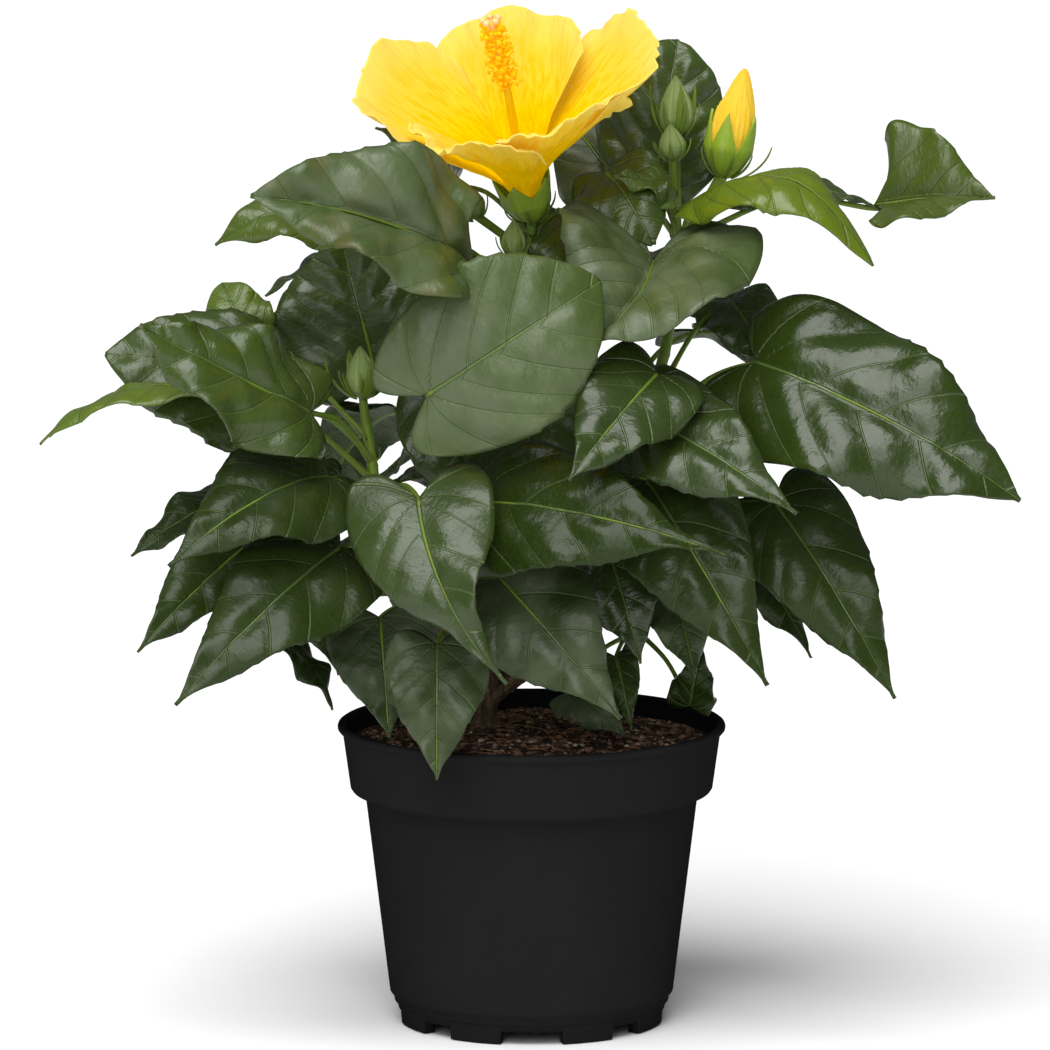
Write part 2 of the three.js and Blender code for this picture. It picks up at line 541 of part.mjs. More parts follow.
// ---------------------------------------------------------------- shoots
// bough: the limb that the shoot grows on from, and stem the places that its own stem then runs through.
// leaves: those that give the shrub its outline. buds: as bud() takes them.
// grown: how many more leaves the growing rule adds round the stem, within a box from low to high.
const SHOOTS = {
  shoot_bloom: {
    bough: "bough_bloom",
    stem: [[-4, 2, 205], [-1, 0, 240], BLOOM.foot],
    radii: [2.7, 2.4, 2, 1.8],
    leaves: [
      leaf([-19, -50, 261], [-91, -74, 287], 56, 52, {
        bow: 0.12, fold: 36, cup: -34, wave: 3.4, lobe: -0.12, full: 0.5,
      }),
      leaf([-60, -20, 272], [-103, -34, 270], 30, 40, { bow: 0.16, curl: 0.12, full: 0.3 }),
      leaf([-34, -66, 221], [22, -64, 258], 60, 82, {
        bow: 0.07, fold: 4, cup: -14, wave: 1.6, curl: 0.12, lobe: 0.2, full: 0.85,
      }),
      leaf([-52, 11, 217], [-64, 14, 264], 64, 84, { bow: 0.05, fold: 8, cup: -20, wave: 3, full: 0.6 }),
      leaf([-27, 22, 280], [-52, 8, 300], 24, 50, { bow: 0.2 }),
      leaf([10, 8, 272], [14, -14, 244], 30, 70),
      leaf([-26, -8, 214], [-16, -26, 166], 42, 78),
      leaf([-4, -24, 212], [10, -36, 158], 46, 76),
    ],
    buds: [
      [[-2, -2, 260], [-18, -12, 273], [-24, -13, 284], 4.6],
      [[-1, -3, 250], [-6, -18, 261], [-6, -18, 273], 4.2],
    ],
    grown: { count: 6, start: 20, seed: 5, low: [-62, -36, 150], high: [50, 44, 262] },
  },
  shoot_buds: {
    bough: "bough_right",
    stem: [[45, 16, 226], [48, 16, 246], [50, 15, 264]],
    radii: [2.4, 2.2, 2, 1.7],
    leaves: [
      leaf([41, 35, 277], [49, 45, 326], 44, 84, { bow: 0.1, fold: 6, cup: -30, wave: 3, full: 0.9 }),
      leaf([30, 34, 276], [10, 60, 300], 36, 70),
      leaf([25, 2, 286], [40, -16, 264], 34, 66, { bow: 0.16, wave: 3.4, full: 0.6 }),
      leaf([40, -22, 259], [19, -60, 236], 74, 50, {
        bow: 0.1, fold: 36, cup: -30, lobe: 0.4, sweep: -0.09, full: 0.3,
      }),
      leaf([56, -5, 279], [108, -36, 284], 38, 14, { bow: 0.1, fold: -6, cup: -24, curl: 0.42, full: 0.7 }),
      leaf([68, 36, 273], [118, 31, 269], 34, 2, { bow: 0.12 }),
      leaf([47, -2, 277], [27, -13, 286], 16, 40, { bow: 0.15, full: 0.4 }),
      leaf([115, 33, 271], [155, 20, 275], 54, 45, {
        bow: 0.06, fold: 42, cup: -20, wave: 2, climb: 0.1, lobe: -0.2, full: 0.15,
      }),
    ],
    buds: [
      [[49, 15, 258], [48, 15, 297], [48, 18, 317], 6],
      [[48, 14, 256], [47, 8, 290], [46, 8, 302], 4.6],
    ],
    opening: OPENING_BUD,
  },
  shoot_left: {
    bough: "bough_left",
    stem: [[-52, -15, 184], [-54, -13, 198], [-56, -12, 211]],
    radii: [2.4, 2.3, 2, 1.6],
    leaves: [
      leaf([-73, -43, 212], [-128, -63, 243], 42, 52, {
        bow: 0.08, fold: 14, cup: -30, wave: 5, sweep: -0.05, full: 0.4,
      }),
      leaf([-77, -7, 208], [-141, -20, 228], 48, 56, { bow: 0.12, wave: 3, full: 0.8 }),
      leaf([-108, -34, 219], [-161, -44, 201], 26, 4, { bow: 0.14, fold: -8, cup: -10, wave: 1.5 }),
      leaf([-95, 4, 225], [-103, 10, 248], 24, 60, { bow: 0.2, curl: 0.15, full: 0.9 }),
      leaf([-37, -68, 187], [-8, -97, 131], 50, 78, {
        bow: 0.1, fold: 6, cup: -26, sweep: 0.08, twist: 60, lobe: 0.18, full: -1,
      }),
    ],
    buds: [[[-55, -13, 203], [-56, -12, 213], [-57, -12, 230], 5.6]],
  },
  shoot_left_low: {
    bough: "bough_left_low",
    stem: [[-52, 2, 156], [-57, 0, 172]],
    radii: [2, 1.8, 1.4],
    leaves: [
      leaf([-67, -40, 190], [-118, -77, 166], 46, 46, { bow: 0.14, fold: 10, cup: -34 }),
      leaf([-93, -26, 166], [-129, -66, 136], 30, 62, { bow: 0.08 }),
      leaf([-101, -4, 176], [-133, -18, 160], 22, 40),
      leaf([-63, -44, 167], [-116, -86, 122], 44, 62, { fold: 8, cup: -22 }),
      leaf([-70, -12, 150], [-64, -30, 122], 24, 60),
      leaf([-86, -2, 130], [-66, -22, 109], 22, -8),
      leaf([-64, 0, 184], [-88, -8, 168], 22, 30, { bow: 0.16 }),
    ],
    grown: { count: 2, start: 200, seed: 23, low: [-112, 0, 112], high: [-40, 60, 190] },
  },
  shoot_right: {
    bough: "bough_right_low",
    stem: [[38, -12, 188], [44, -12, 220]],
    radii: [2, 1.8, 1.4],
    leaves: [
      leaf([74, -25, 226], [160, -58, 185], 62, 60, { bow: 0.1, fold: 8, cup: -24, wave: 3.6, full: 0.4 }),
      leaf([41, -53, 226], [12, -88, 196], 38, 62, { bow: 0.07 }),
      leaf([30, -40, 212], [86, -80, 184], 44, 58),
      leaf([24, -28, 168], [36, -42, 128], 32, 66, { bow: 0.08 }),
      leaf([66, 8, 242], [80, -16, 220], 28, 50, { bow: 0.14 }),
    ],
    grown: { count: 3, start: 10, seed: 41, low: [20, -40, 150], high: [112, 40, 240] },
  },
  shoot_front: {
    bough: "bough_front",
    stem: [[-16, -33, 160], [-15, -37, 178]],
    radii: [2, 1.8, 1.4],
    leaves: [
      leaf([-20, -54, 184], [64, -92, 172], 52, 58, { fold: 4, cup: -26, full: -0.4 }),
      leaf([-15, -48, 163], [29, -78, 116], 50, 72, { bow: 0.08 }),
      leaf([-31, -64, 138], [-31, -80, 96], 34, 80, { bow: 0.08, fold: 12 }),
      leaf([-50, -34, 142], [-47, -46, 104], 36, 84, { bow: 0.06 }),
    ],
    grown: { count: 2, start: 300, seed: 17, low: [-60, -60, 125], high: [60, -4, 216] },
  },
  shoot_right_low: {
    bough: "second_stem",
    stem: [[44, 0, 146], [52, -4, 166]],
    radii: [2, 1.7, 1.4],
    leaves: [
      leaf([38, -36, 188], [77, -72, 126], 46, 68),
      leaf([81, -14, 177], [120, -40, 116], 40, 64),
      leaf([70, 6, 158], [93, -14, 125], 22, 40),
      leaf([70, -2, 172], [89, -12, 169], 22, 50, { bow: 0.2, wave: 3 }),
      leaf([48, -20, 147], [54, -38, 123], 24, 70),
      leaf([53, -8, 108], [57, -10, 128], 16, 60, { bow: 0.16, curl: 0.1 }),
      leaf([28, -18, 126], [33, -32, 104], 14, 60, { bow: 0.14 }),
      leaf([12, -20, 114], [31, -33, 102], 18, 60, { bow: 0.2, full: 0.3 }),
    ],
  },
  shoot_back_left: {
    bough: "bough_back_left",
    stem: [[-35, 33, 214], [-35, 32, 248]],
    radii: [2.2, 1.9, 1.4],
    grown: { count: 9, start: 150, seed: 7, low: [-96, 0, 150], high: [6, 100, 292] },
  },
  shoot_back_right: {
    bough: "bough_back_right",
    stem: [[32, 40, 208], [34, 40, 246]],
    radii: [2.2, 1.9, 1.4],
    grown: { count: 9, start: 60, seed: 11, low: [-6, 4, 146], high: [128, 100, 290] },
  },
  shoot_back_low: {
    bough: "bough_back",
    stem: [[-6, 36, 156], [-4, 38, 176]],
    radii: [2, 1.8, 1.4],
    grown: { count: 8, start: 90, seed: 3, low: [-104, 2, 106], high: [104, 100, 196] },
  },
};

// The growing rule: leaves leave the stem one by one, a golden angle apart. The lower they are the longer
// they are and the more they hang. Each is tried a few times with other random values, a little shorter every
// time, and is skipped if it would still leave its shoot's box or come too near to what has grown before it.
const RULE = {
  angle: 137.5,
  tries: 14,
  shrink: 0.965,
  stray: 70, // width of the spread round the golden angle, in degrees
  stalk: [16, 36],
  length: [58, 84],
  slimness: 0.6,
  hang: [-8, -62],
  lean: [20, 50],
  clear: 1.6,
};

function candidate(shoot, i, attempt, random) {
  const { count, start } = shoot.grown;
  const age = 1 - (i + 0.5) / count; // near 1 for the lowest, oldest leaf
  const turn = radians(start + RULE.angle * i + RULE.stray * (random() - 0.5));
  const size = RULE.shrink ** attempt;
  const reach = mix(...RULE.stalk, random()) * size;
  const length = mix(...RULE.length, 0.6 * age + 0.4 * random()) * size;
  const hang = radians(mix(...RULE.hang, 0.6 * age + 0.4 * random()));
  const out = new THREE.Vector3(Math.cos(turn), Math.sin(turn), 0);
  const hub = alongStem(shoot.stem, 1 - age).addScaledVector(out, reach);
  hub.z += 0.4 * reach;
  const tip = hub.clone().addScaledVector(out, length * Math.cos(hang));
  tip.z += length * Math.sin(hang);
  const lean = -Math.sin(turn) * mix(...RULE.lean, random());
  const shape = { bow: mix(0.08, 0.16, random()), phase: random() };
  return leaf(hub.toArray(), tip.toArray(), length * RULE.slimness, lean, shape);
}

function bladeInside(one, low, high) {
  const surface = bladeSurface(one);
  const places = BLADE.along.flatMap((v) => BLADE.wide.map((u) => surface(u, v).toArray()));
  return places.every((p) => p.every((value, k) => value > low[k] && value < high[k]));
}

const touches = (a, b) => a.intersect(b).volume() > 0;

function grow(shoot, others) {
  const random = seeded(shoot.grown.seed);
  const own = shoot.leaves.map((one) => blade(one));
  for (let i = 0; i < shoot.grown.count; i++) {
    for (let attempt = 0; attempt < RULE.tries; attempt++) {
      const one = candidate(shoot, i, attempt, random);
      if (!bladeInside(one, shoot.grown.low, shoot.grown.high)) continue;
      const space = blade(one, RULE.clear);
      const way = stalk(one, shoot.stem, RULE.clear);
      const meets = (other) => touches(space, other) || touches(way, other);
      if (others.some(meets) || own.some((other) => touches(space, other))) continue;
      shoot.leaves.push(one);
      own.push(blade(one));
      break;
    }
  }
}

function shootSolid(shoot) {
  const pieces = [limb(shoot.stem, shoot.radii, { steps: 3 })];
  for (const one of shoot.leaves) pieces.push(stalk(one, shoot.stem), blade(one));
  for (const one of shoot.buds ?? []) pieces.push(bud(...one));
  if (shoot.opening) {
    const { stalk: root, stalkRadii, foot, axis, radius } = shoot.opening;
    pieces.push(limb([root, foot], stalkRadii, { steps: 1 }));
    pieces.push(calyx(foot, axis, radius, CALYX.lean.furled));
  }
  if (shoot.stem.at(-1) === BLOOM.foot) {
    pieces.push(calyx(BLOOM.foot, BLOOM.axis, CALYX.radius, CALYX.lean.open));
  }
  return joined(pieces);
}

// ---------------------------------------------------------------- materials
const material = (color, roughness) => new THREE.MeshStandardMaterial({ color, roughness, metalness: 0 });
const MATERIALS = {
  pot: material(0x1b1b1c, 0.5),
  soil: material(0x33221a, 1),
  bark: material(0x6d6a3a, 0.7),
  leaf: material(0x2f5526, 0.35),
  petal: material(0xfbd21f, 0.55),
  anther: material(0xf6b400, 0.7),
};

// ---------------------------------------------------------------- the whole plant
const plant = new THREE.Group();
function add(name, solid, finish) {
  const mesh = new THREE.Mesh(geometryOf(solid), finish);
  mesh.name = name;
  plant.add(mesh);
}

add("pot", pot(), MATERIALS.pot);
add("soil", soil(), MATERIALS.soil);

const underground = box([200, 200, 200], [0, 0, SOIL.top + GAP - 100], 0);
const limbs = [];
for (const [name, one] of Object.entries(LIMBS)) {
  let solid = limb(one.places, one.radii).subtract(underground);
  for (const earlier of limbs) solid = solid.subtract(limb(earlier.places, earlier.radii, { margin: GAP }));
  limbs.push(one);
  add(name, solid, MATERIALS.bark);
}

const petalSolid = petals();
add("bloom_petals", petalSolid, MATERIALS.petal);
add("bloom_column", column(), MATERIALS.anther);
add("opening_bud", furledPetals(), MATERIALS.petal);

for (const shoot of Object.values(SHOOTS)) {
  shoot.from = LIMBS[shoot.bough];
  shoot.stem = [shoot.from.places.at(-1), ...shoot.stem];
  shoot.leaves ??= [];
}
const solids = new Map();
for (const [name, shoot] of Object.entries(SHOOTS)) {
  solids.set(name, shootSolid(shoot));
}
const limbSolids = limbs.map((one) => limb(one.places, one.radii));
for (const [name, shoot] of Object.entries(SHOOTS)) {
  if (shoot.grown) {
    const neighbours = [...solids].filter(([other]) => other !== name).map(([, solid]) => solid);
    const bloom = [petalSolid];
    const far = limbSolids.filter((_, i) => limbs[i] !== shoot.from);
    grow(shoot, [...neighbours, ...far, ...bloom]);
  }
  solids.set(name, shootSolid(shoot));
}
for (const [name, shoot] of Object.entries(SHOOTS)) {
  const carrier = limb(shoot.from.places, shoot.from.radii, { margin: GAP });
  add(name, solids.get(name).subtract(carrier), MATERIALS.leaf);
}

export default plant;
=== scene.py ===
"""A young hibiscus shrub in a round nursery pot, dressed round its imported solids.

The pot, the soil, the woody limbs, the leafy shoots, the opening bud, the open bloom and the stage each have
an operator. They are in the Hibiscus tab of the 3D view's sidebar. The tables are in millimetres.
"""

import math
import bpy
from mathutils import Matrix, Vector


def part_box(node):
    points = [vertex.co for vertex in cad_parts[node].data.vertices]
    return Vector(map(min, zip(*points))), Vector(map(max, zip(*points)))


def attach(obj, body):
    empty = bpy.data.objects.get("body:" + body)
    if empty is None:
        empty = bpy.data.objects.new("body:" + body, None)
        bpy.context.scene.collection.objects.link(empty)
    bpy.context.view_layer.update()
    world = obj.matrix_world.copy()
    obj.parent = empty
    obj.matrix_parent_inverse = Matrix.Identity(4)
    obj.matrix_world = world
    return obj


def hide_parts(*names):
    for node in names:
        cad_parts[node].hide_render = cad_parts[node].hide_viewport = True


bl_info = {
    "name": "Potted hibiscus",
    "version": (1, 0, 0),
    "blender": (4, 5, 0),
    "location": "3D View > Sidebar > Hibiscus",
    "description": "Builds a young potted hibiscus with one open bloom",
    "category": "Object",
}

import bpy
import numpy as np
from bpy.props import FloatProperty, FloatVectorProperty, IntProperty, PointerProperty
from mathutils import Vector

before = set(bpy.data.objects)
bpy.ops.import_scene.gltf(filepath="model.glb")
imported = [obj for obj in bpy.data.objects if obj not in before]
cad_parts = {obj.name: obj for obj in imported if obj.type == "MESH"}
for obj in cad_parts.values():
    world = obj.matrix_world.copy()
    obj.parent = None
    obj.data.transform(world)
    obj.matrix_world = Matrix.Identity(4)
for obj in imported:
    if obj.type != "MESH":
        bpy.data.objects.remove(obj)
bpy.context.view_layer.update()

MM = 0.001
POT_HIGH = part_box("pot")[1]

# -------------------------------------------------------- the plant's shape, in millimetres and degrees
# A limb is the places that it runs through and its radii.
LIMBS = {
    "trunk": ([(-15, 11, 88), (-15.4, 10.6, 100), (-14.6, 9.8, 110), (-13, 9, 122)], [7.5, 4, 3.8, 3.4]),
    "second_stem": ([(23, 13, 88), (25, 12, 104), (34, 6, 128)], [3.6, 2.4, 2]),
    "bough_bloom": ([(-13, 9, 121), (-11, 7, 138), (-8, 5, 158)], [3.2, 2.9, 2.7]),
    "bough_left": ([(-14.6, 9.4, 112), (-34, -2, 138), (-49, -13, 170)], [2.6, 2.5, 2.4]),
    "bough_right": ([(-13.4, 9.4, 116), (8, 16, 150), (40, 16, 206)], [2.8, 2.6, 2.4]),
    "bough_front": ([(-13.6, 9.4, 117), (-14, -12, 128), (-15, -27, 146)], [2.2, 2.1, 2]),
    "bough_right_low": ([(-14.4, 9.8, 106), (12, 0, 130), (33, -9, 160)], [2.4, 2.2, 2]),
    "bough_left_low": ([(-15, 10.2, 104), (-34, 12, 122), (-46, 6, 142)], [2.3, 2.1, 2]),
    "bough_back_left": ([(-14.2, 9.6, 111), (-26, 24, 146), (-33, 31, 188)], [2.6, 2.4, 2.2]),
    "bough_back_right": ([(-14.8, 10, 107), (8, 30, 136), (27, 37, 176)], [2.6, 2.4, 2.2]),
    "bough_back": ([(-14, 9.8, 114), (-12, 24, 126), (-8, 32, 140)], [2.2, 2.1, 2]),
}

# A leaf is its hub, where the stalk meets the blade, its tip, its width, and the lean that turns its upper
# face from the sky towards -Y. Shares of its length: bow of the midrib, curl of the tip, sweep sideways, lobe
# at the base. Degrees: fold and cup of the two halves, roll and twist about the length. wave is the margin's
# ripple in mm and phase its start. full is how far the blade keeps its width, and climb how steeply the stalk
# rises. light makes it paler, as the paler green of a young leaf and as painted light, and below 0 it paints
# shade on it. yellow paints light shining through it, brown tints it, quilt raises it between its veins, and
# sheen paints a pale grey sheen on it that stands in for a broad reflection, and makes it rougher.
FLAT = {
    "bow": 0.1, "curl": 0, "sweep": 0, "fold": 10, "cup": -28, "roll": 0, "twist": 0, "lobe": 0.11,
    "wave": 2.5, "phase": 0, "climb": 0.55, "full": 0, "light": 0, "yellow": 0, "brown": 0, "quilt": 1,
    "sheen": 0.12,
}


def leaf(hub, tip, width, lean, **shape):
    places = {"hub": np.array(hub, float), "tip": np.array(tip, float)}
    return {**FLAT, **places, "width": width, "lean": lean, **shape}


BLOOM_FOOT = (0, -1, 271)
BLOOM_AXIS = (-0.21, -0.33, 1)
CALYX = {"radius": 8.2, "height": 9, "lobe": 7.5}
PETAL = {"throat": 4.5, "neck": 16, "spread": 50, "tuck": 0.08, "overlap": 3}
# The turn in degrees, the reach and the rise of each petal.
PETALS = ((17, 55, 42), (89, 49, 44), (165, 48, 50), (243, 40, 41), (308, 44, 43))
COLUMN = {"length": 56, "start": 8, "anthers": 0.6, "stigmas": 5}  # anthers start at that share of its length
OPENING_BUD = {"stalk": (51, 15, 262), "foot": (64, 12, 284), "axis": (0.2, 0.05, 1), "radius": 8.2,
               "length": 36}
GAP = 0.3  # between the bloom's solids

# A shoot grows on from a bough. light is added to that of its leaves, and below 0 it paints shade on the
# leaves of the low and back shoots, which hang under the others. A bud is the root of its stalk, its base, its
# tip and its radius. grown is how many leaves the rule tries for, the first direction and the seed.
SHOOTS = {
    "shoot_bloom": {
        "bough": "bough_bloom",
        "stem": [(-4, 2, 205), (-1, 0, 240), BLOOM_FOOT],
        "radii": [2.7, 2.4, 2, 1.8],
        "leaves": [
            leaf((-19, -50, 261), (-91, -74, 287), 56, 52, bow=0.12, fold=36, cup=-34, wave=3.4, lobe=-0.12,
                 full=0.5, brown=0.4, light=0.4, quilt=1.8, sheen=0.7),
            leaf((-60, -20, 272), (-103, -34, 270), 30, 40, bow=0.16, curl=0.12, full=0.3, light=0.3,
                 yellow=0.3),
            leaf((-34, -66, 221), (22, -64, 258), 60, 82, bow=0.07, fold=4, cup=-14, wave=1.6, curl=0.12,
                 lobe=0.2, full=0.85, sheen=0.7, light=0.4, quilt=0.9),
            leaf((-52, 11, 217), (-64, 14, 264), 64, 84, bow=0.05, fold=8, cup=-20, wave=3, full=0.6,
                 quilt=1.8),
            leaf((-27, 22, 280), (-52, 8, 300), 24, 50, bow=0.2, light=0.2),
            leaf((10, 8, 272), (14, -14, 244), 30, 70, light=0.2),
            leaf((-26, -8, 214), (-16, -26, 166), 42, 78),
            leaf((-4, -24, 212), (10, -36, 158), 46, 76),
        ],
        "buds": [((-2, -2, 260), (-18, -12, 273), (-24, -13, 284), 4.6),
                 ((-1, -3, 250), (-6, -18, 261), (-6, -18, 273), 4.2)],
        "grown": (6, 20, 5),
    },
    "shoot_buds": {
        "bough": "bough_right",
        "stem": [(45, 16, 226), (48, 16, 246), (50, 15, 264)],
        "radii": [2.4, 2.2, 2, 1.7],
        "leaves": [
            leaf((41, 35, 277), (49, 45, 326), 44, 84, bow=0.1, fold=6, cup=-30, wave=3, full=0.9,
                 light=0.2, quilt=1.8),
            leaf((30, 34, 276), (10, 60, 300), 36, 70, sheen=0.9, light=0.2),
            leaf((25, 2, 286), (40, -16, 264), 34, 66, bow=0.16, wave=3.4, full=0.6, light=0.2, quilt=1.6),
            leaf((40, -22, 259), (19, -60, 236), 74, 50, bow=0.1, fold=36, cup=-30, lobe=0.4, sweep=-0.09,
                 full=0.3, sheen=0.85, light=0.4, brown=0.1, quilt=1.9),
            leaf((56, -5, 279), (108, -36, 284), 38, 14, bow=0.1, fold=-6, cup=-24, curl=0.42, full=0.7,
                 light=0.6, yellow=0.8, quilt=1.2, sheen=0),
            leaf((68, 36, 273), (118, 31, 269), 34, 2, bow=0.12, light=0.1),
            leaf((47, -2, 277), (27, -13, 286), 16, 40, bow=0.15, full=0.4, light=0.8),
            leaf((115, 33, 271), (155, 20, 275), 54, 45, bow=0.06, fold=42, cup=-20, wave=2, climb=0.1,
                 lobe=-0.2, full=0.15, light=0.05, yellow=0.3),
        ],
        "buds": [((49, 15, 258), (48, 15, 297), (48, 18, 317), 6),
                 ((48, 14, 256), (47, 8, 290), (46, 8, 302), 4.6)],
    },
    "shoot_left": {
        "bough": "bough_left",
        "stem": [(-52, -15, 184), (-54, -13, 198), (-56, -12, 211)],
        "radii": [2.4, 2.3, 2, 1.6],
        "leaves": [
            leaf((-73, -43, 212), (-128, -63, 243), 42, 52, bow=0.08, fold=14, cup=-30, wave=5, sweep=-0.05,
                 full=0.4, light=0.25, quilt=1.6),
            leaf((-77, -7, 208), (-141, -20, 228), 48, 56, bow=0.12, wave=3, full=0.8, light=0.1, quilt=1.5),
            leaf((-108, -34, 219), (-161, -44, 201), 26, 4, bow=0.14, fold=-8, cup=-10, wave=1.5, light=0.8,
                 yellow=0.5),
            leaf((-95, 4, 225), (-103, 10, 248), 24, 60, bow=0.2, curl=0.15, full=0.9, light=0.9,
                 yellow=0.4),
            leaf((-37, -68, 187), (-8, -97, 131), 50, 78, bow=0.1, fold=6, cup=-26, sweep=0.08, twist=60,
                 lobe=0.18, full=-1, sheen=0.2, light=-0.1, quilt=0.7),
        ],
        "buds": [((-55, -13, 203), (-56, -12, 213), (-57, -12, 230), 5.6)],
    },
    "shoot_left_low": {
        "bough": "bough_left_low",
        "light": -0.75,
        "stem": [(-52, 2, 156), (-57, 0, 172)],
        "radii": [2, 1.8, 1.4],
        "leaves": [
            leaf((-67, -40, 190), (-118, -77, 166), 46, 46, bow=0.14, fold=10, cup=-34),
            leaf((-93, -26, 166), (-129, -66, 136), 30, 62, bow=0.08),
            leaf((-101, -4, 176), (-133, -18, 160), 22, 40),
            leaf((-63, -44, 167), (-116, -86, 122), 44, 62, fold=8, cup=-22),
            leaf((-70, -12, 150), (-64, -30, 122), 24, 60),
            leaf((-86, -2, 130), (-66, -22, 109), 22, -8),
            leaf((-64, 0, 184), (-88, -8, 168), 22, 30, bow=0.16),
        ],
        "grown": (2, 200, 23),
    },
    "shoot_right": {
        "bough": "bough_right_low",
        "light": -0.3,
        "stem": [(38, -12, 188), (44, -12, 220)],
        "radii": [2, 1.8, 1.4],
        "leaves": [
            leaf((74, -25, 226), (160, -58, 185), 62, 60, bow=0.1, fold=8, cup=-24, wave=5, full=0.4,
                 quilt=1.2, sheen=0),
            leaf((41, -53, 226), (12, -88, 196), 38, 62, bow=0.07),
            leaf((30, -40, 212), (86, -80, 184), 44, 58, quilt=1.3),
            leaf((24, -28, 168), (36, -42, 128), 32, 66, bow=0.08, light=-0.4),
            leaf((66, 8, 242), (80, -16, 220), 28, 50, bow=0.14, light=0.2),
        ],
        "grown": (3, 10, 41),
    },
    "shoot_front": {
        "bough": "bough_front",
        "light": -0.9,
        "stem": [(-16, -33, 160), (-15, -37, 178)],
        "radii": [2, 1.8, 1.4],
        "leaves": [
            leaf((-20, -54, 184), (64, -92, 172), 52, 58, fold=4, cup=-26, full=-0.4, quilt=1.2, sheen=0),
            leaf((-15, -48, 163), (29, -78, 116), 50, 72, bow=0.08, sheen=0.5),
            leaf((-31, -64, 138), (-31, -80, 96), 34, 80, bow=0.08, fold=12, light=0.15, sheen=0.5),
            leaf((-50, -34, 142), (-47, -46, 104), 36, 84, bow=0.06, sheen=0.5),
        ],
        "grown": (2, 300, 17),
    },
    "shoot_right_low": {
        "bough": "second_stem",
        "light": -0.75,
        "stem": [(44, 0, 146), (52, -4, 166)],
        "radii": [2, 1.7, 1.4],
        "leaves": [
            leaf((38, -36, 188), (77, -72, 126), 46, 68),
            leaf((81, -14, 177), (120, -40, 116), 40, 64, light=0.15),
            leaf((70, 6, 158), (93, -14, 125), 22, 40),
            leaf((70, -2, 172), (89, -12, 169), 22, 50, bow=0.2, wave=3, light=0.2),
            leaf((48, -20, 147), (54, -38, 123), 24, 70, sheen=0.5),
            leaf((53, -8, 108), (57, -10, 128), 16, 60, bow=0.16, curl=0.1),
            leaf((28, -18, 126), (33, -32, 104), 14, 60, bow=0.14, light=0.4),
            leaf((12, -20, 114), (31, -33, 102), 18, 60, bow=0.2, full=0.3, sheen=0.6),
        ],
    },
    "shoot_back_left": {
        "bough": "bough_back_left",
        "light": -0.6,
        "stem": [(-35, 33, 214), (-35, 32, 248)],
        "radii": [2.2, 1.9, 1.4],
        "grown": (9, 150, 7),
    },
    "shoot_back_right": {
        "bough": "bough_back_right",
        "light": -0.6,
        "stem": [(32, 40, 208), (34, 40, 246)],
        "radii": [2.2, 1.9, 1.4],
        "grown": (9, 60, 11),
    },
    "shoot_back_low": {
        "bough": "bough_back",
        "light": -0.6,
        "stem": [(-6, 36, 156), (-4, 38, 176)],
        "radii": [2, 1.8, 1.4],
        "grown": (8, 90, 3),
    },
}

# The growing rule: leaves leave the stem a golden angle apart, and the lower ones are longer and hang more.
RULE = {"angle": 137.5, "tries": 14, "shrink": 0.965, "stray": 70, "stalk": (16, 36), "length": (58, 84),
        "slimness": 0.6, "hang": (-8, -62), "lean": (20, 50)}


# ---------------------------------------------------------------- arithmetic on places
def mix(a, b, share):
    return a + (b - a) * share


def unit(v):
    v = np.asarray(v, float)
    return v / np.maximum(np.linalg.norm(v, axis=-1, keepdims=True), 1e-12)


def step_between(x, low, high):
    """0 below low and 1 above high, with a smooth rise between them."""
    t = np.clip((np.asarray(x, float) - low) / (high - low), 0, 1)
    return t * t * (3 - 2 * t)


def bump_at(x, middle, width):
    """1 at the middle, with a smooth fall towards 0 some widths away."""
    return np.exp(-(((x - middle) / width) ** 2))


def turned(v, axis, angle):
    """v turned about a unit axis by an angle in radians, which may be an array of them."""
    angle = np.asarray(angle, float)[..., None]
    dot = np.sum(v * axis, axis=-1, keepdims=True)
    return v * np.cos(angle) + np.cross(axis, v) * np.sin(angle) + axis * dot * (1 - np.cos(angle))


def square_to(axis):
    """A unit axis and two directions square to it, the first as close to +X as it can be."""
    up = unit(axis)
    side = unit(np.array([1.0, 0, 0]) - up * up[0])
    return up, side, np.cross(up, side)


def outward(axis, turn):
    """The direction square to an axis at each angle round it, counted from the one closest to +X."""
    _, side, back = square_to(axis)
    turn = np.asarray(turn, float)[..., None]
    return side * np.cos(turn) + back * np.sin(turn)


def sheet_normals(middle):
    """The direction square to a grid of points, at each of them."""
    return unit(np.cross(np.gradient(middle, axis=1), np.gradient(middle, axis=0)))


def seeded(seed):
    """A function that gives the next repeatable random number from 0 to 1 at each call."""
    state = [seed & 0xFFFFFFFF]

    def draw():
        state[0] = (state[0] * 1664525 + 1013904223) & 0xFFFFFFFF
        return state[0] / 4294967296

    return draw


def grain(points, size, seed=0):
    """Smooth random values from -1 to 1 at places in mm, in cells of that size."""
    place = np.asarray(points, float) / size
    low = np.floor(place).astype(np.int64)
    share = place - low
    share = share * share * (3 - 2 * share)
    total = 0.0
    for corner in np.ndindex(2, 2, 2):
        cell = low + corner
        mixed = cell[..., 0] * 374761393 + cell[..., 1] * 668265263 + cell[..., 2] * 362437 + seed * 974711
        mixed = ((mixed ^ (mixed >> 13)) * 1274126177) & 0xFFFFFFFF
        value = ((mixed ^ (mixed >> 16)) & 0xFFFF) / 32767.5 - 1
        total = total + value * np.prod(np.where(corner, share, 1 - share), axis=-1)
    return total


